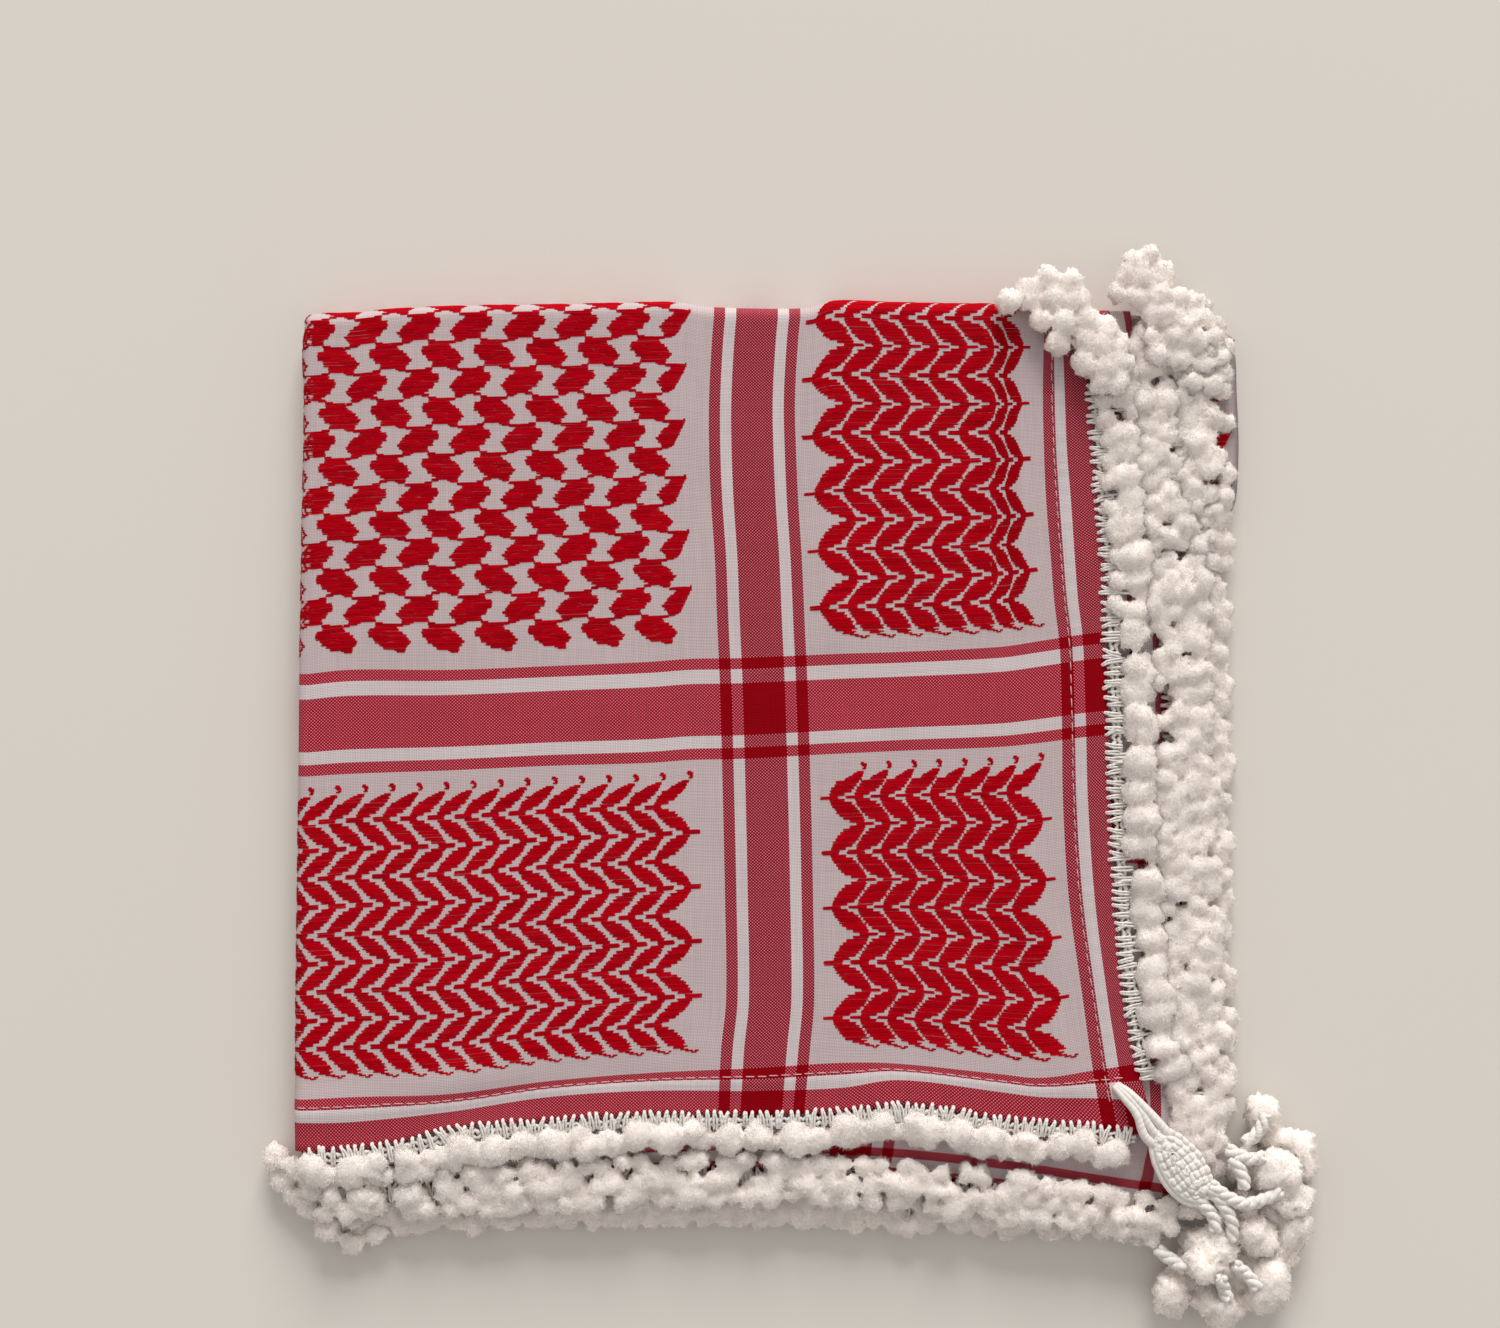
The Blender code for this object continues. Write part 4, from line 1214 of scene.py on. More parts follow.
@dataclass(frozen=True)
class LozengeNet:
    """Net of slanted lozenges, charted as one lozenge and its mirror image.

    The chart holds a start and an end thread from the lozenge's centre for every pair of
    picks; the links are the small steps that join it to its neighbours.
    """

    repeat: int = 32
    row_pitch: float = 18.3
    first_up: float = 8.0
    first_down: float = 23.0
    last_row: float = 216.0
    slant: float = 0.46
    longer: float = 0.4
    chart: Tuple[Tuple[int, float, float], ...] = (
        (-9, -4.3, 3.4), (-8, -8.3, 4.0), (-7, -8.5, 4.2), (-6, -12.0, 4.8), (-5, -12.0, 5.4),
        (-4, -12.6, 7.6), (-3, -12.6, 8.2), (-2, -12.2, 9.8), (-1, -12.2, 9.8), (0, -9.6, 11.0),
        (1, -9.6, 11.2), (2, -8.8, 12.8), (3, -8.8, 12.6), (4, -6.0, 11.4), (5, -6.0, 11.2),
        (6, -3.6, 9.6), (7, -3.4, 9.4), (8, 3.2, 9.4))
    links: Tuple[Tuple[int, float, float], ...] = (
        (-12, -12.6, -8.8), (-11, -12.6, -8.6), (-10, -8.8, -4.6), (-9, -8.4, -4.6),
        (-9, 4.4, 7.7), (-8, 4.6, 7.7), (9, 5.0, 9.0))

    def runs(self, patch: Patch) -> List[FloatRun]:
        """Floats of the net inside a field.

        Args:
            patch: the field.

        Returns:
            (start thread, end thread, pick) of each float.
        """
        found = []
        for row in range(int((patch.b_high - patch.b_low) / self.row_pitch) + 3):
            centre_b = self.last_row - row * self.row_pitch
            rising = row % 2 == 1
            first = self.first_up if rising else self.first_down
            for column in range(-2, int((patch.a_high - patch.a_low) / self.repeat) + 2):
                centre_a = first + column * self.repeat
                if centre_a > patch.a_high:
                    continue
                for pick, start, end in self.chart + self.links:
                    if rising:
                        start, end = -end, -start
                    limit = patch.a_high - (self.slant * (pick + 9) if rising else 0.0)
                    end = min(centre_a + end, limit)
                    if end - centre_a - start > SHORTEST_FLOAT:
                        found.append((centre_a + start - self.longer, end + self.longer,
                                      math.floor(centre_b + pick + 0.5)))
        return patch.clip(found)


@dataclass(frozen=True)
class LeafRows:
    """Upright zigzag of slanted leaves, charted as the white channel between two leaves.

    The chart runs from a level where the stems point left to one where they point right;
    half is the number of picks between two such levels.
    """

    leaves: int
    first_thread: float
    first_pick: int
    halves: int
    half: float = 18.0
    widen: float = 0.0
    repeat: int = 16
    channel: Points = (
        (0.6, 6.6), (4.7, 12.4), (8.2, 13.8), (10.2, 14.7), (12.1, 16.3), (13.2, 17.4),
        (14.8, 19.3), (15.7, 21.3), (17.1, 24.8), (22.9, 28.9))
    heads: Floats = (4.4, 6.6, 7.2, 9.4, 10.0, 10.8)
    feet: Floats = (0.0, 4.8, 6.6, 8.4, 9.6)
    upper_stem: Tuple[FloatRun, ...] = ((-1.4, 1.4, 1), (-0.4, 1.7, 0), (-1.0, 1.8, -1), (-2.2, 1.8, -2),
                                        (-1.6, 0.6, -3))
    lower_stem: Tuple[FloatRun, ...] = ((-5.0, -0.2, -1), (-2.4, 2.4, 0), (1.2, 4.6, 1), (3.6, 6.0, 0))

    def gap(self, step: int) -> Tuple[float, float]:
        """Channel at a number of picks from a level where the stems point right."""
        level = 9.0 * abs(1.0 - (step - 1.0) % (2.0 * self.half) / self.half)
        pair = int(level * 1.02 + 0.41)
        start, end = self.channel[pair]
        extra = self.widen if 1 < pair < 8 else self.widen * 0.5
        return start - extra / 2, end + extra / 2

    def runs(self, patch: Patch) -> List[FloatRun]:
        """Floats of the leaves inside a field, as LozengeNet.runs gives them."""
        found = []
        total = round(self.halves * self.half) + 1
        for step in range(3, total):
            start, end = self.gap(step)
            for column in range(self.leaves):
                left = self.first_thread + column * self.repeat + end
                right = self.first_thread + (column + 1) * self.repeat + start
                if step < 9:
                    left = right - self.heads[step - 3]
                elif total - step < 5:
                    right = left + self.feet[total - step]
                found.append((left, right, self.first_pick + step))
        for column in range(self.leaves):
            tip = self.first_thread + (column + 1) * self.repeat + 18.0
            for stem, level in ((self.upper_stem, 0), (self.lower_stem, total)):
                found += [(tip + start, tip + end, self.first_pick + level + pick) for start, end,
                          pick in stem]
        return patch.clip(found)


Surface = Callable[[Array, Array, Array], Array]


@dataclass
class FloatField:
    """A field of raised floats lying on a surface."""

    name: str
    surface: Surface
    finish: Material
    seed: int
    lift: float = 0.24
    sink: float = 0.03
    width: float = 1.07
    split: float = 13.0
    shares: Floats = (0.0, 0.1, 0.36, 0.64, 0.9, 1.0)
    arch: Floats = (0.0, 0.72, 1.0, 1.0, 0.72, 0.0)

    def build(self, runs: Sequence[FloatRun]) -> Thing:
        """Make the floats as arched ribbons, one for each run.

        Args:
            runs: (start thread, end thread, pick) of each float.

        Returns:
            The joined mesh.
        """
        chance = np.random.default_rng(self.seed)
        pieces = []
        for start, end, pick in runs:
            if end - start > self.split * 1.5:
                cut = start + (end - start) * chance.uniform(0.35, 0.65)
                pieces += [(start, cut + 0.5, pick), (cut - 0.5, end, pick)]
            else:
                pieces.append((start, end, pick))
        table = np.array(pieces)
        count = len(table)
        start = table[:, 0] + chance.normal(0.0, 0.22, count)
        end = np.maximum(table[:, 1] + chance.normal(0.0, 0.22, count), start + 0.8)
        middle = table[:, 2] + 0.5 + chance.normal(0.0, 0.05, count)
        ends = self.surface(np.concatenate([start, end]), np.concatenate([middle, middle]),
                            np.zeros(2 * count))[:, :2]
        # painted shade: floats squeezed closer than the thread pitch, as in the pleat, get a low tone and so
        # the deep red; elsewhere the tone is random
        pitch = np.linalg.norm(ends[count:] - ends[:count], axis=1) / (end - start)
        tone = chance.uniform(0.0, 1.0, count) * np.clip((pitch / WARP_PITCH - 0.5) * 2.6, 0.0, 1.0)
        shares, arch, across = np.array(self.shares), np.array(self.arch), np.array([-1.0, 0.0, 1.0])
        a = start[:, None] + (end - start)[:, None] * shares
        bend = chance.normal(0.0, 0.06, (count, 1)) * np.sin(shares * math.pi)
        half = self.width / 2 * (1.0 - 0.25 * (1.0 - arch)) * np.ones((count, 1))
        b = (middle[:, None] + bend)[:, :, None] + half[:, :, None] * across
        rise = self.lift * (0.85 + 0.3 * chance.uniform(0.0, 1.0, (count, 1))) * arch
        lift = rise[:, :, None] * np.array([0.25, 1.0, 0.25]) + self.sink
        a_all = np.broadcast_to(a[:, :, None], b.shape)
        points = self.surface(a_all.ravel(), b.ravel(), lift.ravel())
        values = beside(a_all.ravel(), np.repeat(tone, b[0].size),
                        np.broadcast_to(across, b.shape).ravel())
        one = grid_faces(len(shares), 3)
        faces = (one[None] + (np.arange(count) * b[0].size)[:, None, None]).reshape(-1, 4)
        bundle = Bundle()
        bundle.add(points, faces[:, ::-1], values)
        return bundle.piece(self.name, "strand", self.finish, Slot.CLOTH)


# ---- second layer


@dataclass
class SecondCloth:
    """Second layer: the L that looks out at the right and lower sides."""

    finishes: Finishes
    top: float = 12.6
    reach: float = 24.0
    fall: float = 4.0
    tuck: float = 10.0
    wall: float = 0.9
    bands: int = 18
    leg: int = 90
    roll: float = 6.05
    roll_floor: float = 2.3
    right_threads: Points = ((0.0, 484.5), (2.2, 480.0), (7.6, 473.0), (11.6, 465.0), (400.0, -182.5))
    lower_picks: Points = ((0.0, 525.5), (1.8, 521.0), (5.8, 513.0), (9.2, 506.0), (400.0, -163.8))

    def height(self, x: Array, y: Array) -> Array:
        """Height of the second layer's face."""
        past = np.maximum(x - spline(RIGHT_EDGE, y), spline(BOTTOM_EDGE, x) - y)
        share = np.clip(past / self.reach, 0.0, 1.0)
        wave = 0.22 * np.sin(y / 11.0 + x / 17.0) * ease(past / 8.0)
        return self.top - self.fall * share ** 1.5 + wave

    def threads(self, x: Array, y: Array) -> Tuple[Array, Array]:
        """Thread and pick numbers at plan places, counted from its own hems."""
        from_right = spline(SECOND_RIGHT, y) - x
        from_bottom = y - spline(SECOND_BOTTOM, x)
        right, lower = np.array(self.right_threads), np.array(self.lower_picks)
        return (np.interp(from_right, right[:, 0], right[:, 1]),
                np.interp(from_bottom, lower[:, 0], lower[:, 1]))

    def build(self) -> Thing:
        """Make the L-shaped wall with its roll at the upper end."""
        inner: List[Tuple[float, float]] = []
        outer: List[Tuple[float, float]] = []
        lifts: List[float] = []
        out_top = float(spline(SECOND_RIGHT, np.array(150.0)))
        for k in range(10, 0, -1):
            angle = math.radians(176.0) * k / 10
            for path, x in ((inner, 134.0), (outer, out_top)):
                axis = float(spline(TOP_FOLD, np.array(x))) - FOLD_TO_AXIS
                path.append((x, axis + self.roll * math.sin(angle)))
            lifts.append((1.0 - math.cos(angle)) / 2.0)
        t = np.linspace(0.0, 1.0, self.leg)
        y_in, y_out = 149.0 - 285.0 * t, 149.0 - 329.0 * t
        inner += list(zip(spline(RIGHT_EDGE, y_in) - self.tuck, y_in))
        outer += list(zip(spline(SECOND_RIGHT, y_out), y_out))
        inner.append((float(spline(RIGHT_EDGE, np.array(-136.0))) - self.tuck - 3.0, -139.5))
        outer.append((173.0, float(spline(SECOND_BOTTOM, np.array(173.0)))))
        x_in, x_out = 142.0 - 289.0 * t, 166.0 - 314.5 * t
        inner += list(zip(x_in, spline(BOTTOM_EDGE, x_in) + self.tuck))
        outer += list(zip(x_out, spline(SECOND_BOTTOM, x_out)))
        lifts += [0.0] * (2 * self.leg + 1)
        share = np.linspace(0.0, 1.0, self.bands + 1)[None, :, None]
        flat = np.array(inner)[:, None, :] * (1.0 - share) + np.array(outer)[:, None, :] * share
        x, y = flat[..., 0].ravel(), flat[..., 1].ravel()
        lift = np.repeat(lifts, self.bands + 1)
        top = self.height(x, np.minimum(y, 148.0))
        z = top - (top - self.roll_floor) * lift
        a, b = self.threads(x, y)
        b = b - np.where(lift > 0.0, lift * 22.0, 0.0)
        surface = beside(x, y, z)
        faces = grid_faces(len(lifts), self.bands + 1)
        values = beside(a, b, np.zeros_like(a))
        points, values, quads = shell(surface, values, faces, self.wall)
        if points[len(surface):, 2].mean() > surface[:, 2].mean():
            points, values, quads = shell(surface, values[:len(surface)], faces[:, ::-1], self.wall)
        bundle = Bundle()
        clean_quads(bundle, points, quads, values)
        return bundle.piece("second_cloth", "threads", self.finishes.cloth, Slot.CLOTH, "cloth_second")


# ---- hidden layers


@dataclass
class FoldedLayers:
    """Hidden layers as one rounded form, layered at its open edges."""

    second: SecondCloth
    finishes: Finishes
    plateau: float = 13.2
    shoulder: Tuple[float, float] = (130.4, 140.6)
    ledge_ends: Points = ((167.0, 153.0), (176.0, 152.4), (188.0, 150.2), (197.0, 147.0), (200.8, 141.8))
    roll_angles: Floats = (28.0, 56.0, 84.0, 112.0, 140.0, 168.0)
    layered_wall: Points = ((-1.6, 6.4), (0.0, 5.7), (-1.3, 4.7), (0.2, 3.9), (-1.1, 2.9), (0.0, 2.0),
                            (-1.2, 0.0))
    lobe_wall: Points = ((-4.4, 7.25), (-1.6, 6.8), (-0.2, 5.2), (0.0, 3.7), (-0.3, 2.1), (-1.2, 0.8),
                         (-3.2, 0.0))
    corner_wall: Points = ((5.0, 13.2), (1.5, 13.15), (-1.2, 12.2), (-0.6, 10.4), (0.9, 8.8), (1.2, 7.6),
                           (1.2, 6.2), (1.2, 5.0), (1.2, 3.6), (1.2, 2.2), (1.4, 0.0))
    right_stops: Floats = (137.0, 124.0, 108.0, 92.0, 80.0, 71.0, 62.0, 48.0, 30.0, 8.0, -14.0, -36.0,
                           -58.0, -80.0, -100.0, -118.0, -132.0)
    finer: int = 3

    @staticmethod
    def read(points: Points, at: float) -> float:
        """One place of a smooth line."""
        return float(spline(points, np.array(at)))

    def hem_section(self, side: Side, at: float) -> Section:
        """Upright section at a hemmed side."""
        right = side is Side.RIGHT
        out = 1.0 if right else -1.0
        edge = self.read(RIGHT_EDGE if right else BOTTOM_EDGE, at)
        wall = self.read(CORE_RIGHT if right else CORE_BOTTOM, at)
        line = [(edge - 14.0 * out, self.plateau), (edge - 12.0 * out, 11.2), (edge, 11.2)]
        line += [(edge + 14.0 * out, 7.6)] + [(wall + step * out, z) for step, z in self.layered_wall]
        return [(place, at, z) if right else (at, place, z) for place, z in line]

    def left_section(self, at: float) -> Section:
        """Upright section at the left fold, with the lower lobe."""
        fold = self.read(LEFT_FOLD, at)
        line = [(fold + 9.0, self.plateau), (fold + 4.6, self.plateau - 0.1)]
        line += [(fold + 2.2, 11.6), (fold + 4.8, 9.6)]
        line += [(fold - out, z) for out, z in self.lobe_wall]
        return [(x, at, z) for x, z in line]

    def top_section(self, at: float) -> Section:
        """Upright section under the upper fold."""
        axis = self.read(TOP_FOLD, at) - FOLD_TO_AXIS
        line = [(axis - 8.0, self.plateau), (axis - 5.0, self.plateau), (axis - 1.5, self.plateau)]
        for degrees in self.roll_angles:
            turn = math.radians(degrees)
            line.append((axis + 4.2 * math.sin(turn), 7.65 + 5.55 * math.cos(turn)))
        line += [(axis - 0.6, 2.1), (axis - 0.8, 0.0)]
        return [(at, y, z) for y, z in line]

    def fall(self, end: Sequence[float]) -> Tuple[Array, Array, float, Section]:
        """Start, direction and reach of a fall from the shoulder to an end, with its first knots."""
        start = np.array(self.shoulder)
        run = np.array(end) - start
        reach = float(np.linalg.norm(run))
        away = run / reach
        first = [(*(start + away * 0.6), self.plateau), (*(start + away * 3.0), 11.1)]
        return start, away, reach, first

    def shoulder_section(self, at: float) -> Section:
        """Section that falls from the plateau's corner to the second layer's roll."""
        axis = self.read(TOP_FOLD, at) - FOLD_TO_AXIS
        lid = float(self.second.height(np.array([at]), np.array([148.0]))[0]) - 1.45
        start, away, reach, line = self.fall((at, axis + 4.4))
        line.append((*(start + away * reach * 0.48), 10.9 + (lid - 10.9) * 0.5))
        for degrees in self.roll_angles:
            turn = math.radians(degrees)
            high = (lid + 3.8) / 2 + (lid - 3.8) / 2 * math.cos(turn)
            line.append((at, axis + 4.5 * math.sin(turn), high))
        return line + [(at, axis - 0.6, 3.8), (at, axis - 0.8, 0.0)]

    def ledge_section(self, end: Tuple[float, float]) -> Section:
        """Section that falls from the plateau's corner to the ledge of lower folds."""
        start, away, reach, line = self.fall(end)
        line += [(*(start + away * reach * 0.48), 7.3), (*(start + away * (reach - 2.6)), 6.5)]
        for out, z in ((-1.0, 6.1), (-0.2, 5.0), (0.0, 3.9), (-0.2, 2.8), (-0.9, 1.5), (-1.6, 0.8)):
            line.append((*(start + away * (reach + out)), z))
        return line + [(*(start + away * (reach - 2.6)), 0.0)]

    def corner_section(self, at: float) -> Section:
        """Section inside the upper left corner."""
        axis = self.read(LEFT_FOLD, at) + LEFT_REACH
        return [(axis + out, at, z) for out, z in self.corner_wall]

    def sections(self) -> Array:
        """All sections round the form."""
        made = [self.top_section(-138.0 + 268.0 * k / 13) for k in range(14)]
        made += [self.shoulder_section(at) for at in (133.6, 142.0, 152.0, 163.6)]
        made += [self.ledge_section(end) for end in self.ledge_ends]
        made += [self.hem_section(Side.RIGHT, at) for at in self.right_stops]
        right_end = self.hem_section(Side.RIGHT, -138.0)
        bottom_start = self.hem_section(Side.BOTTOM, 148.0)
        made.append([(p[0] - 1.5, q[1] + 1.0, p[2]) if k > 3 else
                     ((p[0] + q[0]) / 2, (p[1] + q[1]) / 2, p[2])
                     for k, (p, q) in enumerate(zip(right_end, bottom_start))])
        made += [self.hem_section(Side.BOTTOM, 146.0 - 280.0 * k / 15) for k in range(16)]
        bottom_end, left_start = self.hem_section(Side.BOTTOM, -140.0), self.left_section(-150.0)
        turned = []
        for k, (p, q) in enumerate(zip(bottom_end, left_start)):
            inset = 3.2 if k > 3 else 0.6
            turned.append((q[0] + inset, p[1] + inset * 1.2, min(p[2], q[2])))
        made.append(turned)
        made += [self.left_section(-146.0 + 287.0 * k / 15) for k in range(16)]
        made.append(self.corner_section(144.6))
        return np.array(made)

    def build(self) -> Thing:
        """Make the form."""
        grid = self.sections()
        grid = refine(grid, self.finer, 0, True)
        grid = refine(grid, self.finer, 1, False)
        grid[..., 2] = np.clip(grid[..., 2], 0.0, None)
        count, rows = grid.shape[:2]
        points = grid.reshape(-1, 3)
        a = (points[:, 0] + 148.6) / WARP_PITCH + PLATE_THREAD
        b = 237.0 + (24.0 - points[:, 1]) / PICK_PITCH
        wall = points[:, 2] < 7.0
        hem_right = wall & (points[:, 0] > 178.0) & (points[:, 1] < 60.0)
        hem_lower = wall & (points[:, 1] < -170.0)
        a = np.where(hem_right, 486.0, np.where(points[:, 0] > 150.0, 330.0, a))
        b = np.where(hem_lower, 527.0, b)
        values = beside(a, b, np.zeros_like(a))
        faces = grid_faces(count, rows)
        seam = np.arange(rows - 1)
        last = (count - 1) * rows
        closing = beside(last + seam, last + seam + 1, seam + 1, seam)
        bundle = Bundle()
        bundle.add(points, np.concatenate([faces, closing]), values)
        bundle.faces.append(np.arange(count)[None, ::-1] * rows)
        bundle.faces.append(np.arange(count)[None, :] * rows + rows - 1)
        made = bundle.piece("folded_layers", "threads", self.finishes.cloth, Slot.HIDDEN, "hidden_layers")
        self.face_outwards(made.data)
        return made

    @staticmethod
    def face_outwards(mesh: bpy.types.Mesh) -> None:
        """Turn every face of a closed mesh outwards."""
        shape = bmesh.new()
        shape.from_mesh(mesh)
        bmesh.ops.recalc_face_normals(shape, faces=shape.faces)
        if shape.calc_volume(signed=True) < 0.0:
            bmesh.ops.reverse_faces(shape, faces=shape.faces)
        shape.to_mesh(mesh)
        shape.free()

    @staticmethod
    def ledge_surface(a: Array, b: Array, lift: Array) -> Array:
        """Places on the ledge, with its own threads counted from the plate's line."""
        x = 196.0 + (a - 100.0) * WARP_PITCH
        y = 142.0 - b * PICK_PITCH
        z = 6.74 - 0.024 * (x - 190.0) - 0.012 * np.clip(x - 199.0, 0.0, None) ** 2
        return beside(x, y, z + lift)


# ---- fringe


class TuftStock:
    """Unit tufts of loose cotton, each a cluster of soft lobes, made once and copied."""

    def __init__(self, level: int, seed: int) -> None:
        """Make smooth and curly tufts.

        Args:
            level: subdivisions of the ball.
            seed: seed of the random draws.
        """
        shape = bmesh.new()
        bmesh.ops.create_icosphere(shape, subdivisions=level, radius=1.0)
        self.ball = np.array([v.co[:] for v in shape.verts])
        self.faces = np.array([[v.index for v in f.verts] for f in shape.faces])
        shape.free()
        chance = np.random.default_rng(seed)
        self.smooth = [self.shape(int(chance.integers(7, 10)), 0.60, 0.34, chance) for _ in range(8)]
        self.curly = [self.shape(int(chance.integers(12, 17)), 0.42, 0.40, chance) for _ in range(8)]

    def shape(self, lobes: int, lobe_size: float, depth: float, chance: Chance) -> Array:
        """Points of one clustered ball.

        Args:
            lobes: lobes on it.
            lobe_size: radius of a lobe as a share of the ball's.
            depth: how deep the clefts are, as a share of the radius.
            chance: random draws.

        Returns:
            Points of the ball.
        """
        heads = unit(chance.normal(0.0, 1.0, (lobes * 6, 3)))
        kept = [heads[0]]
        for head in heads[1:]:
            if len(kept) < lobes and max(float(head @ other) for other in kept) < math.cos(lobe_size * 1.1):
                kept.append(head)
        size = lobe_size * chance.uniform(0.8, 1.15, len(kept))
        offset = (1.0 - size) * chance.uniform(0.8, 1.05, len(kept))
        toward = (self.ball @ np.array(kept).T) * offset
        room = toward ** 2 - offset ** 2 + size ** 2
        reach = np.where(room > 0.0, toward + np.sqrt(np.clip(room, 0.0, None)), 0.0).max(axis=1)
        return self.ball * np.maximum(reach, 1.0 - depth)[:, None]

    def put(self, crowd: Bundle, centre: Array, size: Array, heading: float, curly: float,
            chance: Chance) -> None:
        """Copy one tuft into a bundle.

        Args:
            crowd: where the tuft goes.
            centre: its middle.
            size: its three half sizes before it is turned to its heading.
            heading: direction of its first half size in plan.
            curly: chance that it is a curly one.
            chance: random draws.
        """
        kind = self.curly if chance.uniform() < curly else self.smooth
        form = kind[int(chance.integers(0, len(kind)))]
        c, s = math.cos(heading), math.sin(heading)
        upright = np.array([[c, -s, 0.0], [s, c, 0.0], [0.0, 0.0, 1.0]])
        placed = ((form @ random_turn(chance).T) * size) @ upright.T + centre
        crowd.add(placed, self.faces, np.zeros(3))


def uneven(points: Array, length: float, chance: Chance) -> Array:
    """Smooth irregular values about zero, one a point, that change over a length."""
    total = np.zeros(len(points))
    for _ in range(10):
        wave = unit(chance.normal(0.0, 1.0, 3)) * chance.uniform(4.4, 8.8) / length
        total += np.sin(points @ wave + chance.uniform(0.0, 6.3))
    return total / 2.24


@dataclass
class CottonMass:
    """Crowded tufts that have felted into one soft body, with stray fibres on it."""

    crowd: Bundle
    chance: Chance
    cell: float = 0.95
    fluff: float = 0.26
    softness: float = 0.72
    fibre_density: float = 1.6
    fibre_half_width: float = 0.11

    def skin(self) -> Tuple[Array, Array]:
        """One skin round all tufts: its points and its four-sided faces."""
        rough = bpy.data.meshes.new("crowd")
        points, faces = np.concatenate(self.crowd.points), np.concatenate(self.crowd.faces)
        rough.from_pydata(points.tolist(), [], faces.tolist())
        body = bpy.data.objects.new("crowd", rough)
        bpy.context.scene.collection.objects.link(body)
        melt = body.modifiers.new("melt", "REMESH")
        melt.mode = "VOXEL"
        melt.voxel_size = self.cell
        made = bpy.data.meshes.new_from_object(body.evaluated_get(bpy.context.evaluated_depsgraph_get()))
        places = np.empty(len(made.vertices) * 3)
        made.vertices.foreach_get("co", places)
        quads = np.array([tuple(p.vertices) for p in made.polygons])
        bpy.data.objects.remove(body)
        bpy.data.meshes.remove(rough)
        bpy.data.meshes.remove(made)
        return places.reshape(-1, 3), quads

    @staticmethod
    def spread(values: Array, faces: Array, count: int) -> Array:
        """Mean over the faces round each point of a value held by face."""
        total, times = np.zeros((count, values.shape[1])), np.zeros(count)
        for corner in range(faces.shape[1]):
            np.add.at(total, faces[:, corner], values)
            np.add.at(times, faces[:, corner], 1.0)
        return total / np.maximum(times, 1.0)[:, None]

    def build(self, name: str, finishes: Finishes, node: str = "") -> List[Thing]:
        """Make the mass and its fibres.

        Args:
            name: name of the mass.
            finishes: the scarf's materials.
            node: node that the mass stands for, if any.

        Returns:
            The two pieces.
        """
        points, faces = self.skin()
        count = len(points)
        across = points[faces[:, 2]] - points[faces[:, 0]]
        normal = np.cross(across, points[faces[:, 3]] - points[faces[:, 1]])
        normal = unit(self.spread(normal, faces, count))
        middle = self.spread(points[faces].mean(axis=1), faces, count)
        hollow = self.spread((((middle - points) * normal).sum(axis=1))[faces].mean(axis=1)[:, None],
                             faces, count)[:, 0]
        wander = beside(*(uneven(points, 6.0, self.chance) for _ in range(3)))
        bumps = (uneven(points + wander, 4.6, self.chance) * 1.15
                 + uneven(points + wander, 2.5, self.chance) * 0.85)
        points = points * 0.75 + middle * 0.25 + normal * (bumps * self.fluff)[:, None]
        points[:, 2] = np.maximum(points[:, 2], 0.05)
        # how far out a point lies, low in hollows; the cotton's material paints its hollows lighter from it
        share = np.clip(0.72 - hollow * 3.0 + bumps * 0.12, 0.0, 1.0)
        tone = np.clip(0.5 + 0.25 * uneven(points, 14.0, self.chance), 0.0, 1.0)
        mass = Bundle()
        mass.add(points, faces, beside(share, tone, np.zeros(count)))
        broad = normal
        for _ in range(7):
            broad = unit(self.spread(broad[faces].mean(axis=1), faces, count))
        soft = unit(normal * (1.0 - self.softness) + broad * self.softness)
        return [mass.piece(name, "puff", finishes.cotton, Slot.YARN, node, soft),
                self.fibres(points, faces, normal, name + "_fibres", finishes.fuzz)]

    def fibres(self, points: Array, faces: Array, normal: Array, name: str, finish: Material) -> Thing:
        """Loose fibres that stand off the seen side of the mass."""
        chance = self.chance
        count = int(self.fibre_density * len(faces) * self.cell ** 2)
        corner = faces[chance.integers(0, len(faces), count)]
        weight = chance.dirichlet((1.0, 1.0, 1.0, 1.0), count)[..., None]
        root = (points[corner] * weight).sum(axis=1)
        facing = unit((normal[corner] * weight).sum(axis=1))
        seen = (facing[:, 2] > -0.2) & (root[:, 2] > 0.8)
        root, facing = root[seen], facing[seen]
        along = unit(np.cross(facing, chance.normal(0.0, 1.0, root.shape)))
        out = unit(facing * chance.uniform(0.2, 0.9, (len(root), 1)) + along * 0.8)
        side = unit(np.cross(out, chance.normal(0.0, 1.0, root.shape))) * self.fibre_half_width
        tip = root + out * chance.uniform(0.8, 2.2, (len(root), 1))
        tip[:, 2] = np.maximum(tip[:, 2], 0.05)
        root = root - facing * 0.15
        spots = beside(root - side, root + side, tip).reshape(-1, 3)
        fuzz = Bundle()
        fuzz.add(spots, np.arange(len(spots)).reshape(-1, 3), (0.95, 0.5, 0.0))
        return fuzz.piece(name, "puff", finish, Slot.YARN)


def random_turn(chance: Chance) -> Array:
    """A random rotation."""
    w, x, y, z = unit(chance.normal(0.0, 1.0, 4))
    return np.array([[1 - 2 * (y * y + z * z), 2 * (x * y - z * w), 2 * (x * z + y * w)],
                     [2 * (x * y + z * w), 1 - 2 * (x * x + z * z), 2 * (y * z - x * w)],
                     [2 * (x * z - y * w), 2 * (y * z + x * w), 1 - 2 * (x * x + y * y)]])


@dataclass(frozen=True)
class Rank:
    """One line of tufts in a run of fringe, measured out from the edge."""

    reach: float
    z: float
    pitch: float
    size: Triple
    sway: float = 1.2
    curly: float = 0.5
    begin: float = -900.0
    bare: Tuple[Tuple[float, float], ...] = ()


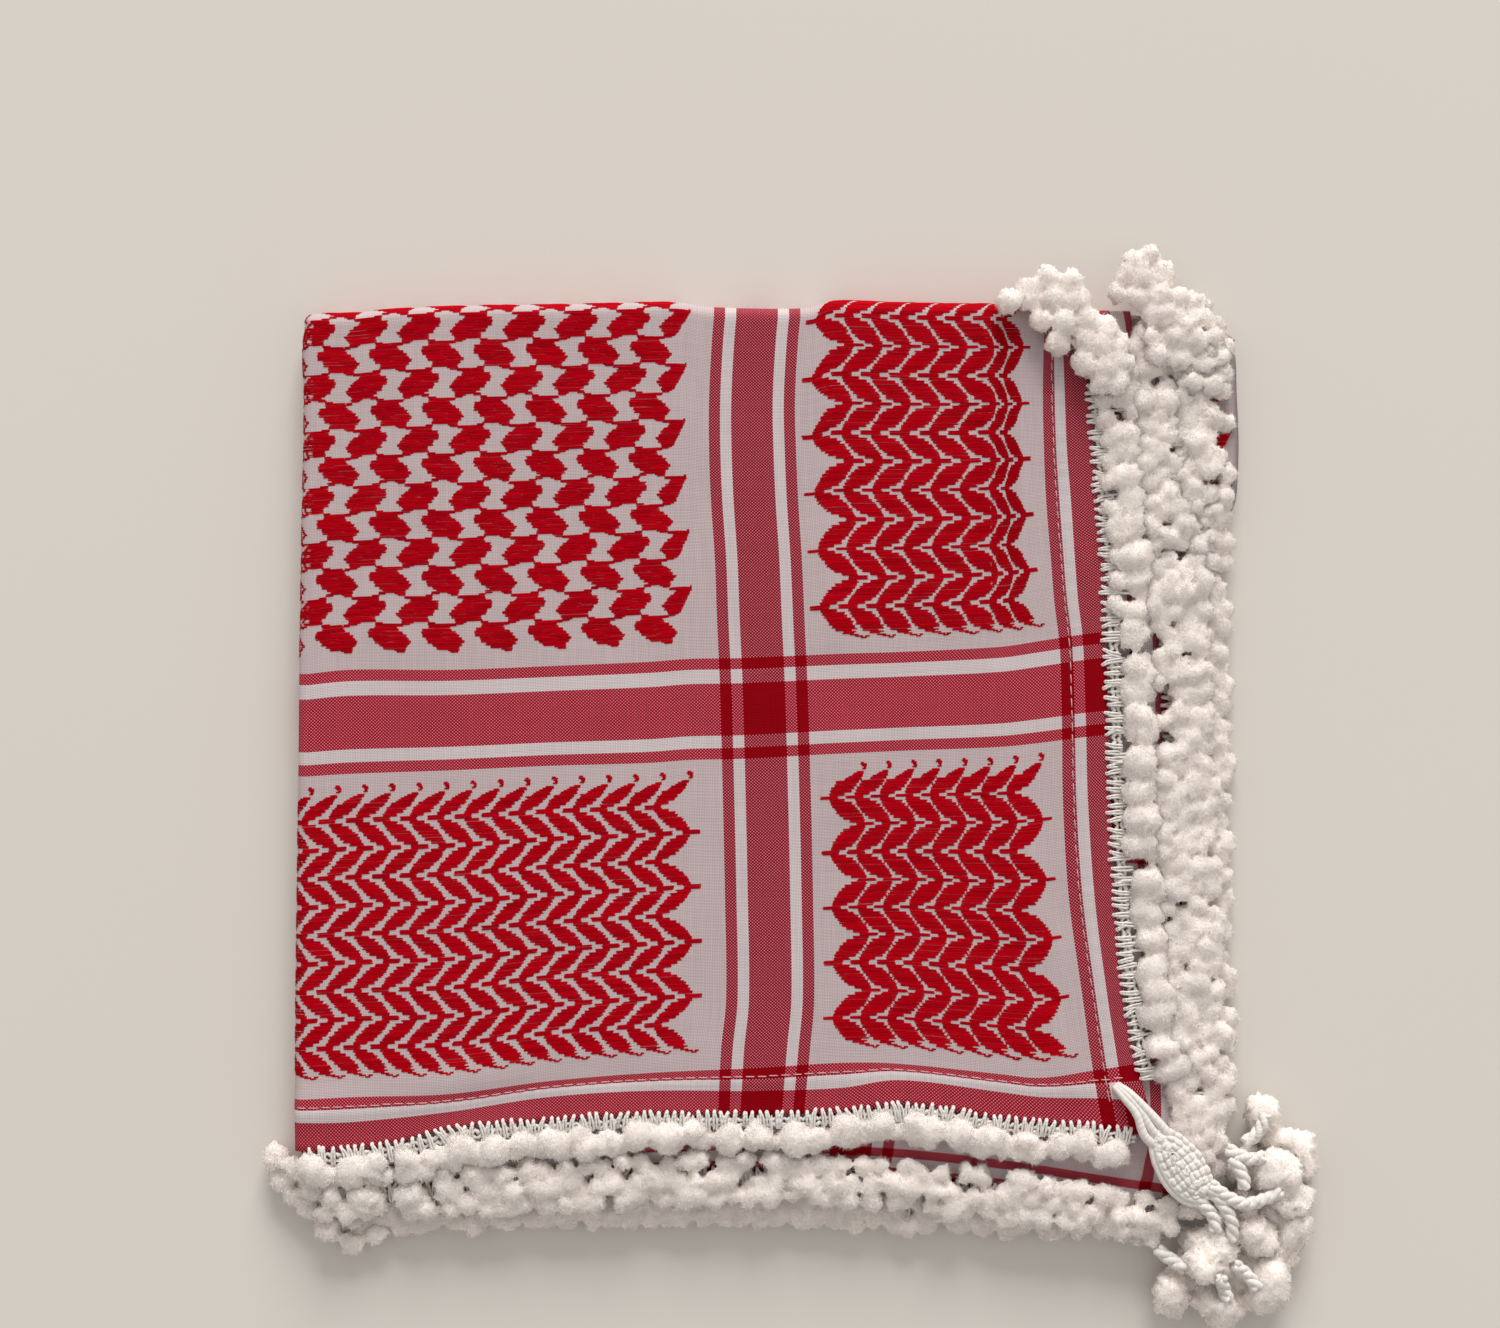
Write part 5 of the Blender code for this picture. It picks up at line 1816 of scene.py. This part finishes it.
@dataclass
class FringeRun:
    """Crochet edge with its teeth, loops and ranks of tufts along a hem."""

    name: str
    node: str
    side: Side
    edge: Points
    start: float
    end: float
    face: Callable[[Array, Array], Array]
    ranks: Tuple[Rank, ...]
    stock: TuftStock
    finishes: Finishes
    seed: int
    teeth: bool = True
    tooth_pitch: float = 2.9
    base_reach: float = 3.4
    stem_radius: float = 0.55
    tooth_radius: float = 0.46

    def line(self, at: Array) -> Tuple[Array, Array]:
        """Plan places and outward directions along the edge."""
        value = spline(self.edge, at)
        slope = (spline(self.edge, at + 1.0) - spline(self.edge, at - 1.0)) / 2.0
        if self.side is Side.RIGHT:
            return beside(value, at), unit(beside(np.ones_like(at), -slope))
        return beside(at, value), unit(beside(slope, -np.ones_like(at)))

    def knots(self, at: Array, outs: Array, lifts: Array, drift: Array) -> Array:
        """Paths across the edge.

        Args:
            at: place of each path along the edge.
            outs: (paths, knots) distances out from the edge.
            lifts: (paths, knots) heights above the cloth's face at the edge.
            drift: (paths, knots) sideways shifts.

        Returns:
            (paths, knots, 3) places.
        """
        spot, out = self.line(at)
        side = beside(-out[:, 1], out[:, 0])
        face = self.face(spot[:, 0], spot[:, 1])
        plan = (spot[:, None, :] + out[:, None, :] * outs[..., None] + side[:, None, :]
                * drift[..., None])
        return np.concatenate([plan, (face[:, None] + lifts)[..., None]], axis=2)

    def build(self) -> List[Thing]:
        """Make the tufts, their fibres and the crochet work."""
        chance = np.random.default_rng(self.seed)
        crowd, yarn = Bundle(), Bundle()
        stems: List[Array] = []
        for index, rank in enumerate(self.ranks):
            count = max(1, int(abs(self.end - self.start) / rank.pitch))
            at = self.start + (self.end - self.start) * (np.arange(count) + 0.25 + 0.5 * (index % 2)) / count
            at = at + chance.normal(0.0, rank.pitch * 0.16, count)
            at = at[at > rank.begin]
            for low, high in rank.bare:
                at = at[(at <= low) | (at >= high)]
            count = len(at)
            spot, out = self.line(at)
            reach = rank.reach + chance.uniform(-rank.sway, rank.sway, count)
            place = np.concatenate([spot + out * reach[:, None],
                                    (rank.z + chance.normal(0.0, 0.5, count))[:, None]], axis=1)
            for k in range(count):
                half = np.array(rank.size) * chance.uniform(0.84, 1.16) * chance.uniform(0.92, 1.08, 3)
                half[2] = min(half[2], place[k, 2] - 0.15)
                heading = math.atan2(out[k, 1], out[k, 0]) + chance.normal(0.0, 0.35)
                self.stock.put(crowd, place[k], half, heading, rank.curly, chance)
            foot = np.concatenate([spot + out * 1.4, (self.face(spot[:, 0], spot[:, 1]) - 0.6)[:, None]],
                                  axis=1)
            middle = (foot + place) / 2
            middle[:, 2] = np.maximum(foot[:, 2], place[:, 2]) + 0.4
            stems.append(beside(foot, middle, place))
        yarn.strands(smooth_paths(np.concatenate(stems), 5), self.stem_radius, 4, chance)
        if self.teeth:
            self.add_teeth(yarn, chance)
        mass = CottonMass(crowd, chance).build(self.name, self.finishes, self.node)
        return mass + [yarn.piece(self.name + "_crochet", "puff", self.finishes.yarn, Slot.YARN)]

    def add_teeth(self, yarn: Bundle, chance: Chance) -> None:
        """Hook the crochet stitches over the cloth's edge and lay the base row."""
        count = int(abs(self.end - self.start) / self.tooth_pitch)
        at = self.start + (self.end - self.start) * (np.arange(count) + 0.5) / count
        at = at + chance.normal(0.0, 0.32, count)
        bite = chance.normal(0.1, 0.35, (count, 1))
        reach = chance.uniform(5.0, 8.8, (count, 1))
        outs = np.concatenate([bite, bite + 0.5, bite + 1.5, bite + 2.6, reach * 0.75, reach], axis=1)
        lifts = np.tile((-0.3, 0.42, 0.62, 0.6, 0.5, -0.2), (count, 1))
        lean = chance.normal(0.0, 0.85, (count, 1)) * np.array([0.0, 0.0, 0.3, 0.7, 1.0, 1.2])
        for shift in (-1.0, 1.0):
            drift = (np.array([0.14, 0.26, 0.34, 0.46, 0.6, 0.4]) * shift + lean
                     + chance.normal(0.0, 0.07, (count, 6)))
            yarn.strands(smooth_paths(self.knots(at, outs, lifts, drift), 7), self.tooth_radius, 4, chance)
        steps = int(abs(self.end - self.start))
        along = np.linspace(self.start, self.end, steps)
        for reach, drop, phase in ((self.base_reach, -0.75, 0.0), (self.base_reach + 2.1, -1.0, 2.0)):
            wave = 0.5 * np.sin(along * 2.0 * math.pi / self.tooth_pitch + phase)
            path = self.knots(along, (reach + wave)[:, None], np.full((steps, 1), drop),
                              np.zeros((steps, 1)))[:, 0]
            radii = 0.8 + 0.25 * np.sin(along * 4.0 * math.pi / self.tooth_pitch + phase)
            yarn.strands(path[None], radii[None], 6, chance)


@dataclass
class Bunch:
    """A crowd of tufts round the end of a fold or at the corner.

    A puff is the place of its middle, its half width and, if it isn't round, its half depth.
    """

    name: str
    node: str
    puffs: Tuple[Floats, ...]
    stock: TuftStock
    finishes: Finishes
    seed: int
    curly: float = 0.5
    swell: float = 1.08
    fluff: float = 0.3

    def build(self) -> List[Thing]:
        """Make the tufts and their fibres."""
        chance = np.random.default_rng(self.seed)
        crowd = Bundle()
        for x, y, z, wide, *flat in self.puffs:
            deep = flat[0] if flat else wide * chance.uniform(0.9, 1.1)
            tall = min((wide + deep) * 0.46, z - 0.15)
            heading = 0.0 if flat else chance.uniform(0.0, 6.0)
            self.stock.put(crowd, np.array([x, y, z]), np.array([wide, deep, tall]) * self.swell, heading,
                           self.curly, chance)
        mass = CottonMass(crowd, chance, fluff=self.fluff)
        return mass.build(self.name, self.finishes, self.node)


# ---- corner


def arc_of(path: Array) -> Array:
    """Length run at each point of a path."""
    return np.concatenate([[0.0], np.cumsum(np.linalg.norm(np.diff(path, axis=0), axis=1))])


@dataclass
class CornerTab:
    """Crocheted tab at the corner with its loop and the thick chains that leave it."""

    finishes: Finishes
    centre: Triple = (179.4, -166.6, 19.2)
    angle: float = -56.0
    length: float = 31.0
    width: float = 15.4
    rope_size: float = 1.5
    rings: Points = ((0.93, -0.6), (0.62, 0.7), (0.32, 1.2), (0.06, 1.35))
    levels: Points = ((0.02, 1.9), (0.45, 1.6), (0.8, 0.8), (1.0, -0.5), (0.8, -2.0), (0.45, -2.4),
                      (0.02, -2.5))
    chains: Tuple[Tuple[Triple, ...], ...] = (
        ((189.6, -173.8, 19.4), (195.4, -181.1, 19.0), (198.8, -187.5, 18.8), (199.1, -195.0, 17.6)),
        ((190.2, -173.0, 19.6), (198.0, -178.5, 19.8), (206.0, -180.4, 19.6), (217.9, -175.5, 19.8)),
        ((183.4, -177.8, 18.4), (188.2, -181.1, 18.4), (192.0, -185.6, 18.4), (192.8, -191.5, 18.4)),
        ((199.1, -163.5, 17.8), (201.4, -167.2, 18.6), (203.0, -171.0, 18.8), (203.6, -175.2, 19.0)),
        ((197.2, -160.5, 16.8), (201.8, -162.8, 17.6), (206.2, -164.2, 18.2), (211.1, -163.1, 18.8)),
        ((203.6, -158.6, 15.8), (207.8, -156.0, 15.8), (210.8, -152.2, 15.4), (212.6, -147.8, 14.8)),
        ((199.2, -203.1, 19.0), (203.0, -206.0, 17.4), (206.0, -209.0, 17.6), (208.8, -212.9, 18.2)),
        ((194.0, -207.6, 20.6), (195.5, -211.0, 18.4), (196.5, -214.0, 17.6), (197.6, -217.4, 17.8)),
        ((172.1, -199.1, 11.0), (175.0, -201.6, 12.0), (178.0, -203.6, 13.0), (182.4, -206.2, 15.0)))

    @staticmethod
    def stitches(bundle: Bundle, path: Array, pitch: float, size: float, lean: float,
                 chance: Chance) -> None:
        """Lay a row of V-shaped crochet stitches along a path.

        Args:
            bundle: where they go.
            path: (n, 3) centre line.
            pitch: distance between stitches.
            size: half width of a strand.
            lean: sideways spread of a stitch's two strands.
            chance: random draws.
        """
        run = arc_of(path)
        count = max(2, int(run[-1] / pitch))
        at = (np.arange(count) + 0.5) / count * run[-1]
        ahead, back = at + pitch * 0.78, at - pitch * 0.62
        spots = [beside(*(np.interp(place, run, path[:, k]) for k in range(3)))
                 for place in (back, at + pitch * 0.1, ahead)]
        tangent = unit(spots[2] - spots[0])
        side = unit(np.cross(tangent, np.array([0.0, 0.0, 1.0])))
        for hand in (-1.0, 1.0):
            tail = spots[0] + side * hand * lean * 0.25
            crown = spots[1] + side * hand * lean + np.array([0.0, 0.0, size * 0.55])
            head = spots[2] + side * hand * lean * 0.45
            paths = smooth_paths(beside(tail, crown, head), 6)
            paths = paths + chance.normal(0.0, size * 0.09, paths.shape)
            radii = size * np.array([0.05, 0.95, 1.05, 1.05, 0.95, 0.05])
            bundle.strands(paths, radii * chance.uniform(0.88, 1.12, (count, 1)), 6, chance)

    @staticmethod
    def rope(bundle: Bundle, path: Array, size: float, chance: Chance) -> None:
        """Three thick soft strands wound round each other along a path.

        Args:
            bundle: where they go.
            path: (n, 3) centre line.
            size: half width of a strand.
            chance: random draws.
        """
        run = arc_of(path)
        tangent = unit(np.gradient(path, axis=0))
        side = unit(np.cross(tangent, np.array([0.0, 0.0, 1.0])))
        over = np.cross(side, tangent)
        strands = []
        for hand in (0.0, 2.1, 4.2):
            wind = run * 2.0 * math.pi / (size * 8.0) + hand
            strands.append(path + size * 0.78 * (side * np.cos(wind)[:, None] + over * np.sin(wind)[:, None]))
        radii = size * chance.uniform(0.94, 1.06, (3, len(path)))
        radii[:, [0, -1]] = 0.05
        bundle.strands(np.array(strands), radii, 8, chance)

    def build(self) -> List[Thing]:
        """Make the tab, its rim, its loop and the chains."""
        chance = np.random.default_rng(SEED + 31)
        bundle = Bundle()
        turn = math.radians(self.angle)
        along = np.array([math.cos(turn), math.sin(turn), 0.0])
        across = np.array([-along[1], along[0], 0.0])
        centre = np.array(self.centre)
        ring = np.linspace(0.0, 2.0 * math.pi, 73)

        def oval(turns: Array, share: float, rise: float) -> Array:
            """Line round the tab at a share of its size."""
            wide = self.width / 2 * share * (1.0 + 0.14 * np.cos(turns))
            long = max(self.length / 2 - self.width / 2 * (1.0 - share) * 1.1, 2.0)
            path = centre + along * (np.cos(turns) * long)[:, None] + across * (np.sin(turns) * wide)[:, None]
            path[:, 2] += rise
            return path

        for share, rise in self.rings:
            self.stitches(bundle, oval(ring, share, rise), 3.2, 1.2, 0.85, chance)
        left = np.linspace(math.radians(168.0), math.radians(356.0), 26)
        rims = np.stack([oval(left, 1.06, 0.1), oval(left, 0.84, 1.0)])
        bundle.strands(rims, [0.05] + [1.15] * 24 + [0.05], 8, chance)
        turns = np.linspace(0.0, 2.0 * math.pi, 24, endpoint=False)
        core = np.stack([oval(turns, share, rise) for share, rise in self.levels])
        bundle.add(core, grid_faces(len(core), 24, closed=True), (0.3, 0.2, 0.0))
        knots = [[(155.4 + hand * 0.4, -136.6 + hand * 0.3, 15.8),
                  (159.4 + hand * 1.2, -140.0 + hand * 0.8, 18.2),
                  (164.0 + hand * 1.6 + 0.8, -146.0 + hand * 1.1, 19.2 + abs(hand) * 0.2),
                  (168.6 + hand * 2.9, -152.4 + hand * 1.9, 19.6),
                  (173.0 + hand * 3.0, -157.4 + hand * 1.6, 19.0)] for hand in (-1.0, 0.0, 1.0)]
        swell = np.linspace(1.2, 2.0, 20)
        swell[[0, -1]] = 0.05
        bundle.strands(smooth_paths(np.array(knots), 20), swell, 8, chance)
        for knot in self.chains:
            self.rope(bundle, smooth_paths(np.array([knot]), 28)[0], self.rope_size, chance)
        return [bundle.piece("corner_crochet_tab", "puff", self.finishes.yarn, Slot.YARN)]


# ---- whole scarf


TURN_LEFT = (
    (115.1, 156.4, 20.2, 4.9), (122.6, 160.9, 19.6, 4.5), (130.1, 165.0, 19.4, 4.9),
    (138.8, 163.5, 19.6, 4.9), (123.8, 156.4, 20.6, 4.1), (132.0, 156.8, 21.0, 4.9),
    (141.0, 156.4, 20.8, 4.9), (127.5, 149.2, 20.4, 4.5), (135.8, 148.5, 21.2, 5.2),
    (133.5, 140.6, 20.4, 5.2), (144.4, 149.2, 20.8, 4.9), (143.6, 142.1, 20.8, 4.9),
    (151.5, 146.2, 20.2, 4.9), (150.4, 139.9, 20.6, 5.2), (144.0, 133.1, 20.2, 4.9),
    (152.2, 132.8, 20.2, 4.9), (149.0, 126.0, 19.6, 4.7), (156.4, 140.6, 19.0, 4.1),
    (157.5, 134.2, 19.0, 4.5), (155.5, 126.0, 19.4, 4.9))
TURN_UPPER = (
    (162.4, 173.2, 13.6, 4.5), (168.8, 174.8, 13.6, 4.5), (160.1, 167.2, 14.0, 4.5),
    (166.5, 166.5, 15.0, 4.9), (173.6, 168.0, 13.8, 4.9), (157.5, 160.5, 13.6, 4.5),
    (165.0, 158.6, 15.4, 4.9), (172.5, 159.8, 15.6, 4.9), (179.2, 157.9, 14.0, 4.9),
    (185.6, 157.5, 12.0, 4.1), (169.5, 152.2, 15.6, 4.1), (175.1, 151.5, 15.8, 5.2),
    (182.6, 150.0, 14.4, 5.2), (189.4, 150.8, 12.0, 4.5), (192.8, 144.0, 11.8, 4.9),
    (186.0, 142.1, 14.0, 5.2), (177.4, 143.2, 15.4, 5.2), (169.5, 144.0, 14.4, 4.5),
    (195.4, 136.5, 10.8, 4.5), (188.6, 134.2, 12.6, 5.2), (180.0, 135.0, 14.6, 5.2),
    (171.8, 136.5, 14.6, 4.9))
TURN_LOWER = (
    (190.5, 157.5, 5.4, 3.8), (195.8, 149.2, 5.2, 4.1), (198.4, 140.6, 8.6, 4.1),
    (197.2, 130.5, 9.6, 4.5), (192.0, 126.0, 11.6, 4.9), (183.8, 126.8, 13.4, 4.9))
TURN_BOTTOM = (
    (-160.5, -166.1, 6.4, 5.6), (-158.6, -174.0, 5.4, 4.9), (-153.0, -169.5, 8.4, 5.2),
    (-145.1, -175.9, 9.6, 6.4), (-137.2, -180.0, 9.6, 5.2), (-147.8, -184.1, 6.2, 5.2),
    (-140.6, -191.6, 6.4, 6.0), (-131.2, -188.2, 7.4, 4.9), (-132.0, -198.4, 5.2, 4.9),
    (-123.0, -195.0, 5.6, 4.9), (-153.4, -180.0, 5.2, 4.5))
CORNER_HIGH = (
    (216.0, -169.5, 12.4, 9.8, 8.6), (209.6, -193.1, 12.0, 8.6, 8.6), (191.2, -201.0, 13.2, 10.5, 10.9),
    (184.1, -183.8, 11.0, 6.4, 4.5), (204.8, -182.2, 8.0, 6.8, 5.2), (221.6, -180.0, 9.4, 9.4, 7.5))
CORNER_LOW = (
    (212.2, -149.6, 7.6, 6.4, 8.2), (228.8, -165.4, 7.6, 4.3, 9.0), (222.4, -159.0, 7.0, 4.9, 4.5),
    (223.5, -192.4, 8.6, 6.8, 7.9), (178.1, -217.1, 7.6, 6.0, 9.4), (195.8, -220.5, 9.4, 9.8, 9.0),
    (213.0, -212.6, 9.6, 9.0, 10.5), (203.2, -203.2, 7.0, 5.2, 5.2), (222.0, -203.2, 6.0, 5.2, 4.9),
    (204.4, -214.5, 5.4, 4.9, 4.9), (186.4, -212.6, 5.4, 4.9, 4.9), (224.2, -174.4, 7.4, 5.2, 6.8),
    (203.6, -170.6, 6.6, 4.6, 5.4), (216.4, -158.6, 6.4, 4.6, 4.6), (207.6, -200.6, 6.6, 5.4, 5.4),
    (201.6, -211.6, 7.0, 5.2, 5.4), (215.6, -186.4, 8.4, 6.0, 5.6), (186.0, -196.4, 8.0, 5.0, 5.2),
    (213.0, -173.4, 8.6, 5.4, 5.0), (198.0, -191.6, 7.4, 4.8, 5.8), (184.8, -206.0, 7.4, 5.6, 5.0),
    (217.4, -199.0, 8.0, 5.4, 5.6), (208.4, -166.0, 6.0, 5.0, 4.8))
LEDGE_END = (
    (198.6, 112.0, 7.6, 4.2), (199.0, 92.5, 7.8, 4.4), (196.5, 84.0, 9.5, 5.0), (197.0, 76.0, 7.5, 4.6),
    (193.5, 77.0, 10.5, 5.0), (197.4, 67.5, 5.8, 4.8), (192.5, 68.5, 9.0, 5.2), (197.0, 59.0, 5.4, 4.8),
    (192.0, 60.0, 8.0, 5.2), (187.5, 66.0, 11.0, 5.0))
LEDGE_LINE = ((66.0, 181.0), (76.0, 180.4), (110.0, 180.0), (144.0, 179.6))


BARE = ((66.0, 73.0), (22.0, 27.0), (2.0, 11.0), (-12.0, -6.0), (-40.0, -35.0))
RIGHT_ONE = (
    Rank(12.4, 15.0, 9.4, (7.4, 6.2, 4.7), curly=0.35),
    Rank(6.6, 15.4, 7.4, (4.2, 4.3, 3.6), 0.8, begin=38.0),
    Rank(16.6, 13.4, 7.4, (4.2, 4.8, 3.8), bare=BARE))
RIGHT_TWO = (
    Rank(-1.0, 13.0, 7.0, (4.6, 4.7, 3.9), bare=BARE), Rank(4.5, 12.8, 7.0, (4.8, 4.9, 4.1)),
    Rank(10.5, 11.8, 7.0, (4.8, 4.9, 4.1)))
RIGHT_OUTER = (Rank(15.6, 10.0, 7.0, (4.6, 4.8, 4.0)),)
RIGHT_UPPER = (Rank(15.2, 9.8, 7.0, (4.8, 4.9, 4.0)), Rank(19.6, 9.2, 7.4, (4.2, 4.4, 3.8)))
RIGHT_FLOOR = (
    Rank(4.2, 5.2, 7.2, (5.0, 5.0, 4.4)), Rank(9.0, 4.9, 7.2, (5.0, 5.0, 4.3)),
    Rank(13.2, 4.6, 7.2, (4.4, 4.8, 4.1), 1.6))
LEDGE_ROW = (
    Rank(1.6, 11.4, 7.0, (4.6, 4.8, 4.2)), Rank(5.6, 11.6, 7.0, (5.0, 5.0, 4.2)),
    Rank(11.4, 11.0, 7.0, (4.8, 5.0, 4.2)), Rank(15.0, 9.6, 12.0, (4.0, 4.4, 3.8), 1.4))
LOWER_ONE = (Rank(9.4, 15.0, 11.0, (6.4, 6.4, 4.7), 1.8, 0.3), Rank(12.4, 13.4, 8.8, (4.8, 5.2, 4.2), 1.6))
LOWER_TWO = (
    Rank(-2.6, 12.8, 7.4, (4.5, 4.6, 3.7)), Rank(4.6, 12.4, 7.4, (4.8, 4.9, 4.1)),
    Rank(10.4, 11.2, 7.2, (4.8, 4.9, 4.1)))
LOWER_FLOOR = (
    Rank(5.0, 5.2, 7.2, (5.0, 5.0, 4.4)), Rank(10.0, 4.9, 7.2, (5.0, 5.0, 4.3)),
    Rank(14.2, 4.6, 7.2, (4.8, 4.8, 4.1), 1.8))


@dataclass
class Headscarf:
    """The folded scarf with everything that is worked on it."""

    plan: ClothPlan = field(default_factory=ClothPlan)
    finishes: Finishes = field(default_factory=Finishes)
    low_edge: float = 3.4

    def build(self) -> List[Thing]:
        """Make all pieces in order."""
        top = TopCloth(self.plan, self.finishes)
        second = SecondCloth(self.finishes)
        layers = FoldedLayers(second, self.finishes)
        cloth, stitches = top.build_cloth(), top.build_stitches()
        fields = self.build_fields(top)
        under, hidden = second.build(), layers.build()
        ledge = FloatField("ledge_floats", layers.ledge_surface, self.finishes.floats, SEED + 16)
        net = LozengeNet(first_up=106.0, first_down=90.0, last_row=118.6)
        bits = ledge.build(net.runs(Patch(92.0, 108.6, 2.0, 104.0)))
        fringe = self.build_fringe(second)
        (fields
                 + [stitches])
        return [cloth, stitches, *fields, under, hidden, bits, *fringe]

    def build_fields(self, top: TopCloth) -> List[Thing]:
        """Make the four patterned fields of the top layer."""
        net = LozengeNet()
        lower_left = LeafRows(15, -25.0, 311, 10, widen=-0.65)
        lower_right = LeafRows(8, 306.0, 310, 10, 18.3, -3.1)
        upper_right = LeafRows(8, 303.5, -48, 14, 19.4, -2.5)
        charts = (("upper_left", net.runs(Patch(-12.0, 237.5, -22.0, 225.0)), 11),
                  ("lower_left", lower_left.runs(Patch(-12.0, 252.0, 300.0, 505.0)), 12),
                  ("lower_right", lower_right.runs(Patch(300.0, 470.0, 300.0, 505.0)), 13),
                  ("upper_right", upper_right.runs(Patch(300.0, 470.0, -22.0, 233.0)), 14))
        return [FloatField("field_" + name, top.surface, self.finishes.floats, SEED + seed).build(runs)
                for name, runs, seed in charts]

    def top_face(self, x: Array, y: Array) -> Array:
        """Height of the top layer at its edge."""
        return self.plan.height(x, y, np.full_like(x, 480.0), np.full_like(x, 400.0))

    def low_face(self, x: Array, _: Array) -> Array:
        """Height of the lowest crochet edge."""
        return np.full_like(x, self.low_edge)

    def build_fringe(self, second: SecondCloth) -> List[Thing]:
        """Make every run, bunch and tassel of the fringe."""
        stock = TuftStock(4, SEED + 20)
        top, mid, low = self.top_face, second.height, self.low_face
        right, bottom = Side.RIGHT, Side.BOTTOM
        table = (
            ("right_one", "right_top", right, RIGHT_EDGE, -136.0, 136.0, top, RIGHT_ONE, True),
            ("right_two", "right_second", right, SECOND_RIGHT, -171.0, 62.0, mid, RIGHT_TWO + RIGHT_OUTER,
             True),
            ("right_two_upper", "right_upper", right, SECOND_RIGHT, 64.0, 146.0, mid,
             RIGHT_TWO + RIGHT_UPPER, True),
            ("right_three", "right_floor", right, CORE_RIGHT, -142.0, 54.0, low, RIGHT_FLOOR, False),
            ("right_ledge_row", "right_ledge", right, LEDGE_LINE, 74.0, 143.0, low, LEDGE_ROW, False),
            ("bottom_one", "bottom_top", bottom, BOTTOM_EDGE, -148.0, 164.0, top, LOWER_ONE, True),
            ("bottom_two", "bottom_second", bottom, SECOND_BOTTOM, -142.0, 180.0, mid, LOWER_TWO, True),
            ("bottom_three", "bottom_floor", bottom, CORE_BOTTOM, -138.0, 172.0, low, LOWER_FLOOR, False))
        made: List[Thing] = []
        for row, (name, node, *shape, teeth) in enumerate(table):
            made += FringeRun("fringe_" + name, "fringe_" + node, *shape, stock, self.finishes, SEED + 41
                              + row, teeth).build()
        crowds = (("bunch_upper_left", "fringe_top_turn_left", TURN_LEFT, 0.4),
                  ("bunch_upper", "fringe_top_turn_upper", TURN_UPPER, 0.6),
                  ("bunch_upper_low", "fringe_top_turn_lower", TURN_LOWER, 0.6),
                  ("bunch_lower_left", "fringe_left_turn", TURN_BOTTOM, 0.8),
                  ("bunch_ledge_end", "", LEDGE_END, 0.5),
                  ("corner_pompoms", "corner_tab", CORNER_HIGH, 0.2),
                  ("corner_pompoms_low", "corner_tassels_low", CORNER_LOW, 0.3))
        for row, (name, node, puffs, curly) in enumerate(crowds):
            loose = (1.16, 0.44) if name.startswith("corner") else (1.08, 0.3)
            made += Bunch(name, node, puffs, stock, self.finishes, SEED + 51 + row, curly, *loose).build()
        return made + CornerTab(self.finishes).build()


def main() -> None:
    """Build the studio and the scarf, then report each piece's triangles."""
    logging.basicConfig(level=logging.INFO, format="%(name)s %(message)s")
    Studio().build()
    for made in Headscarf().build():
        LOG.info("%s: %d triangles", made.name, sum(len(p.vertices) - 2 for p in made.data.polygons))


if __name__ == "__main__":
    main()
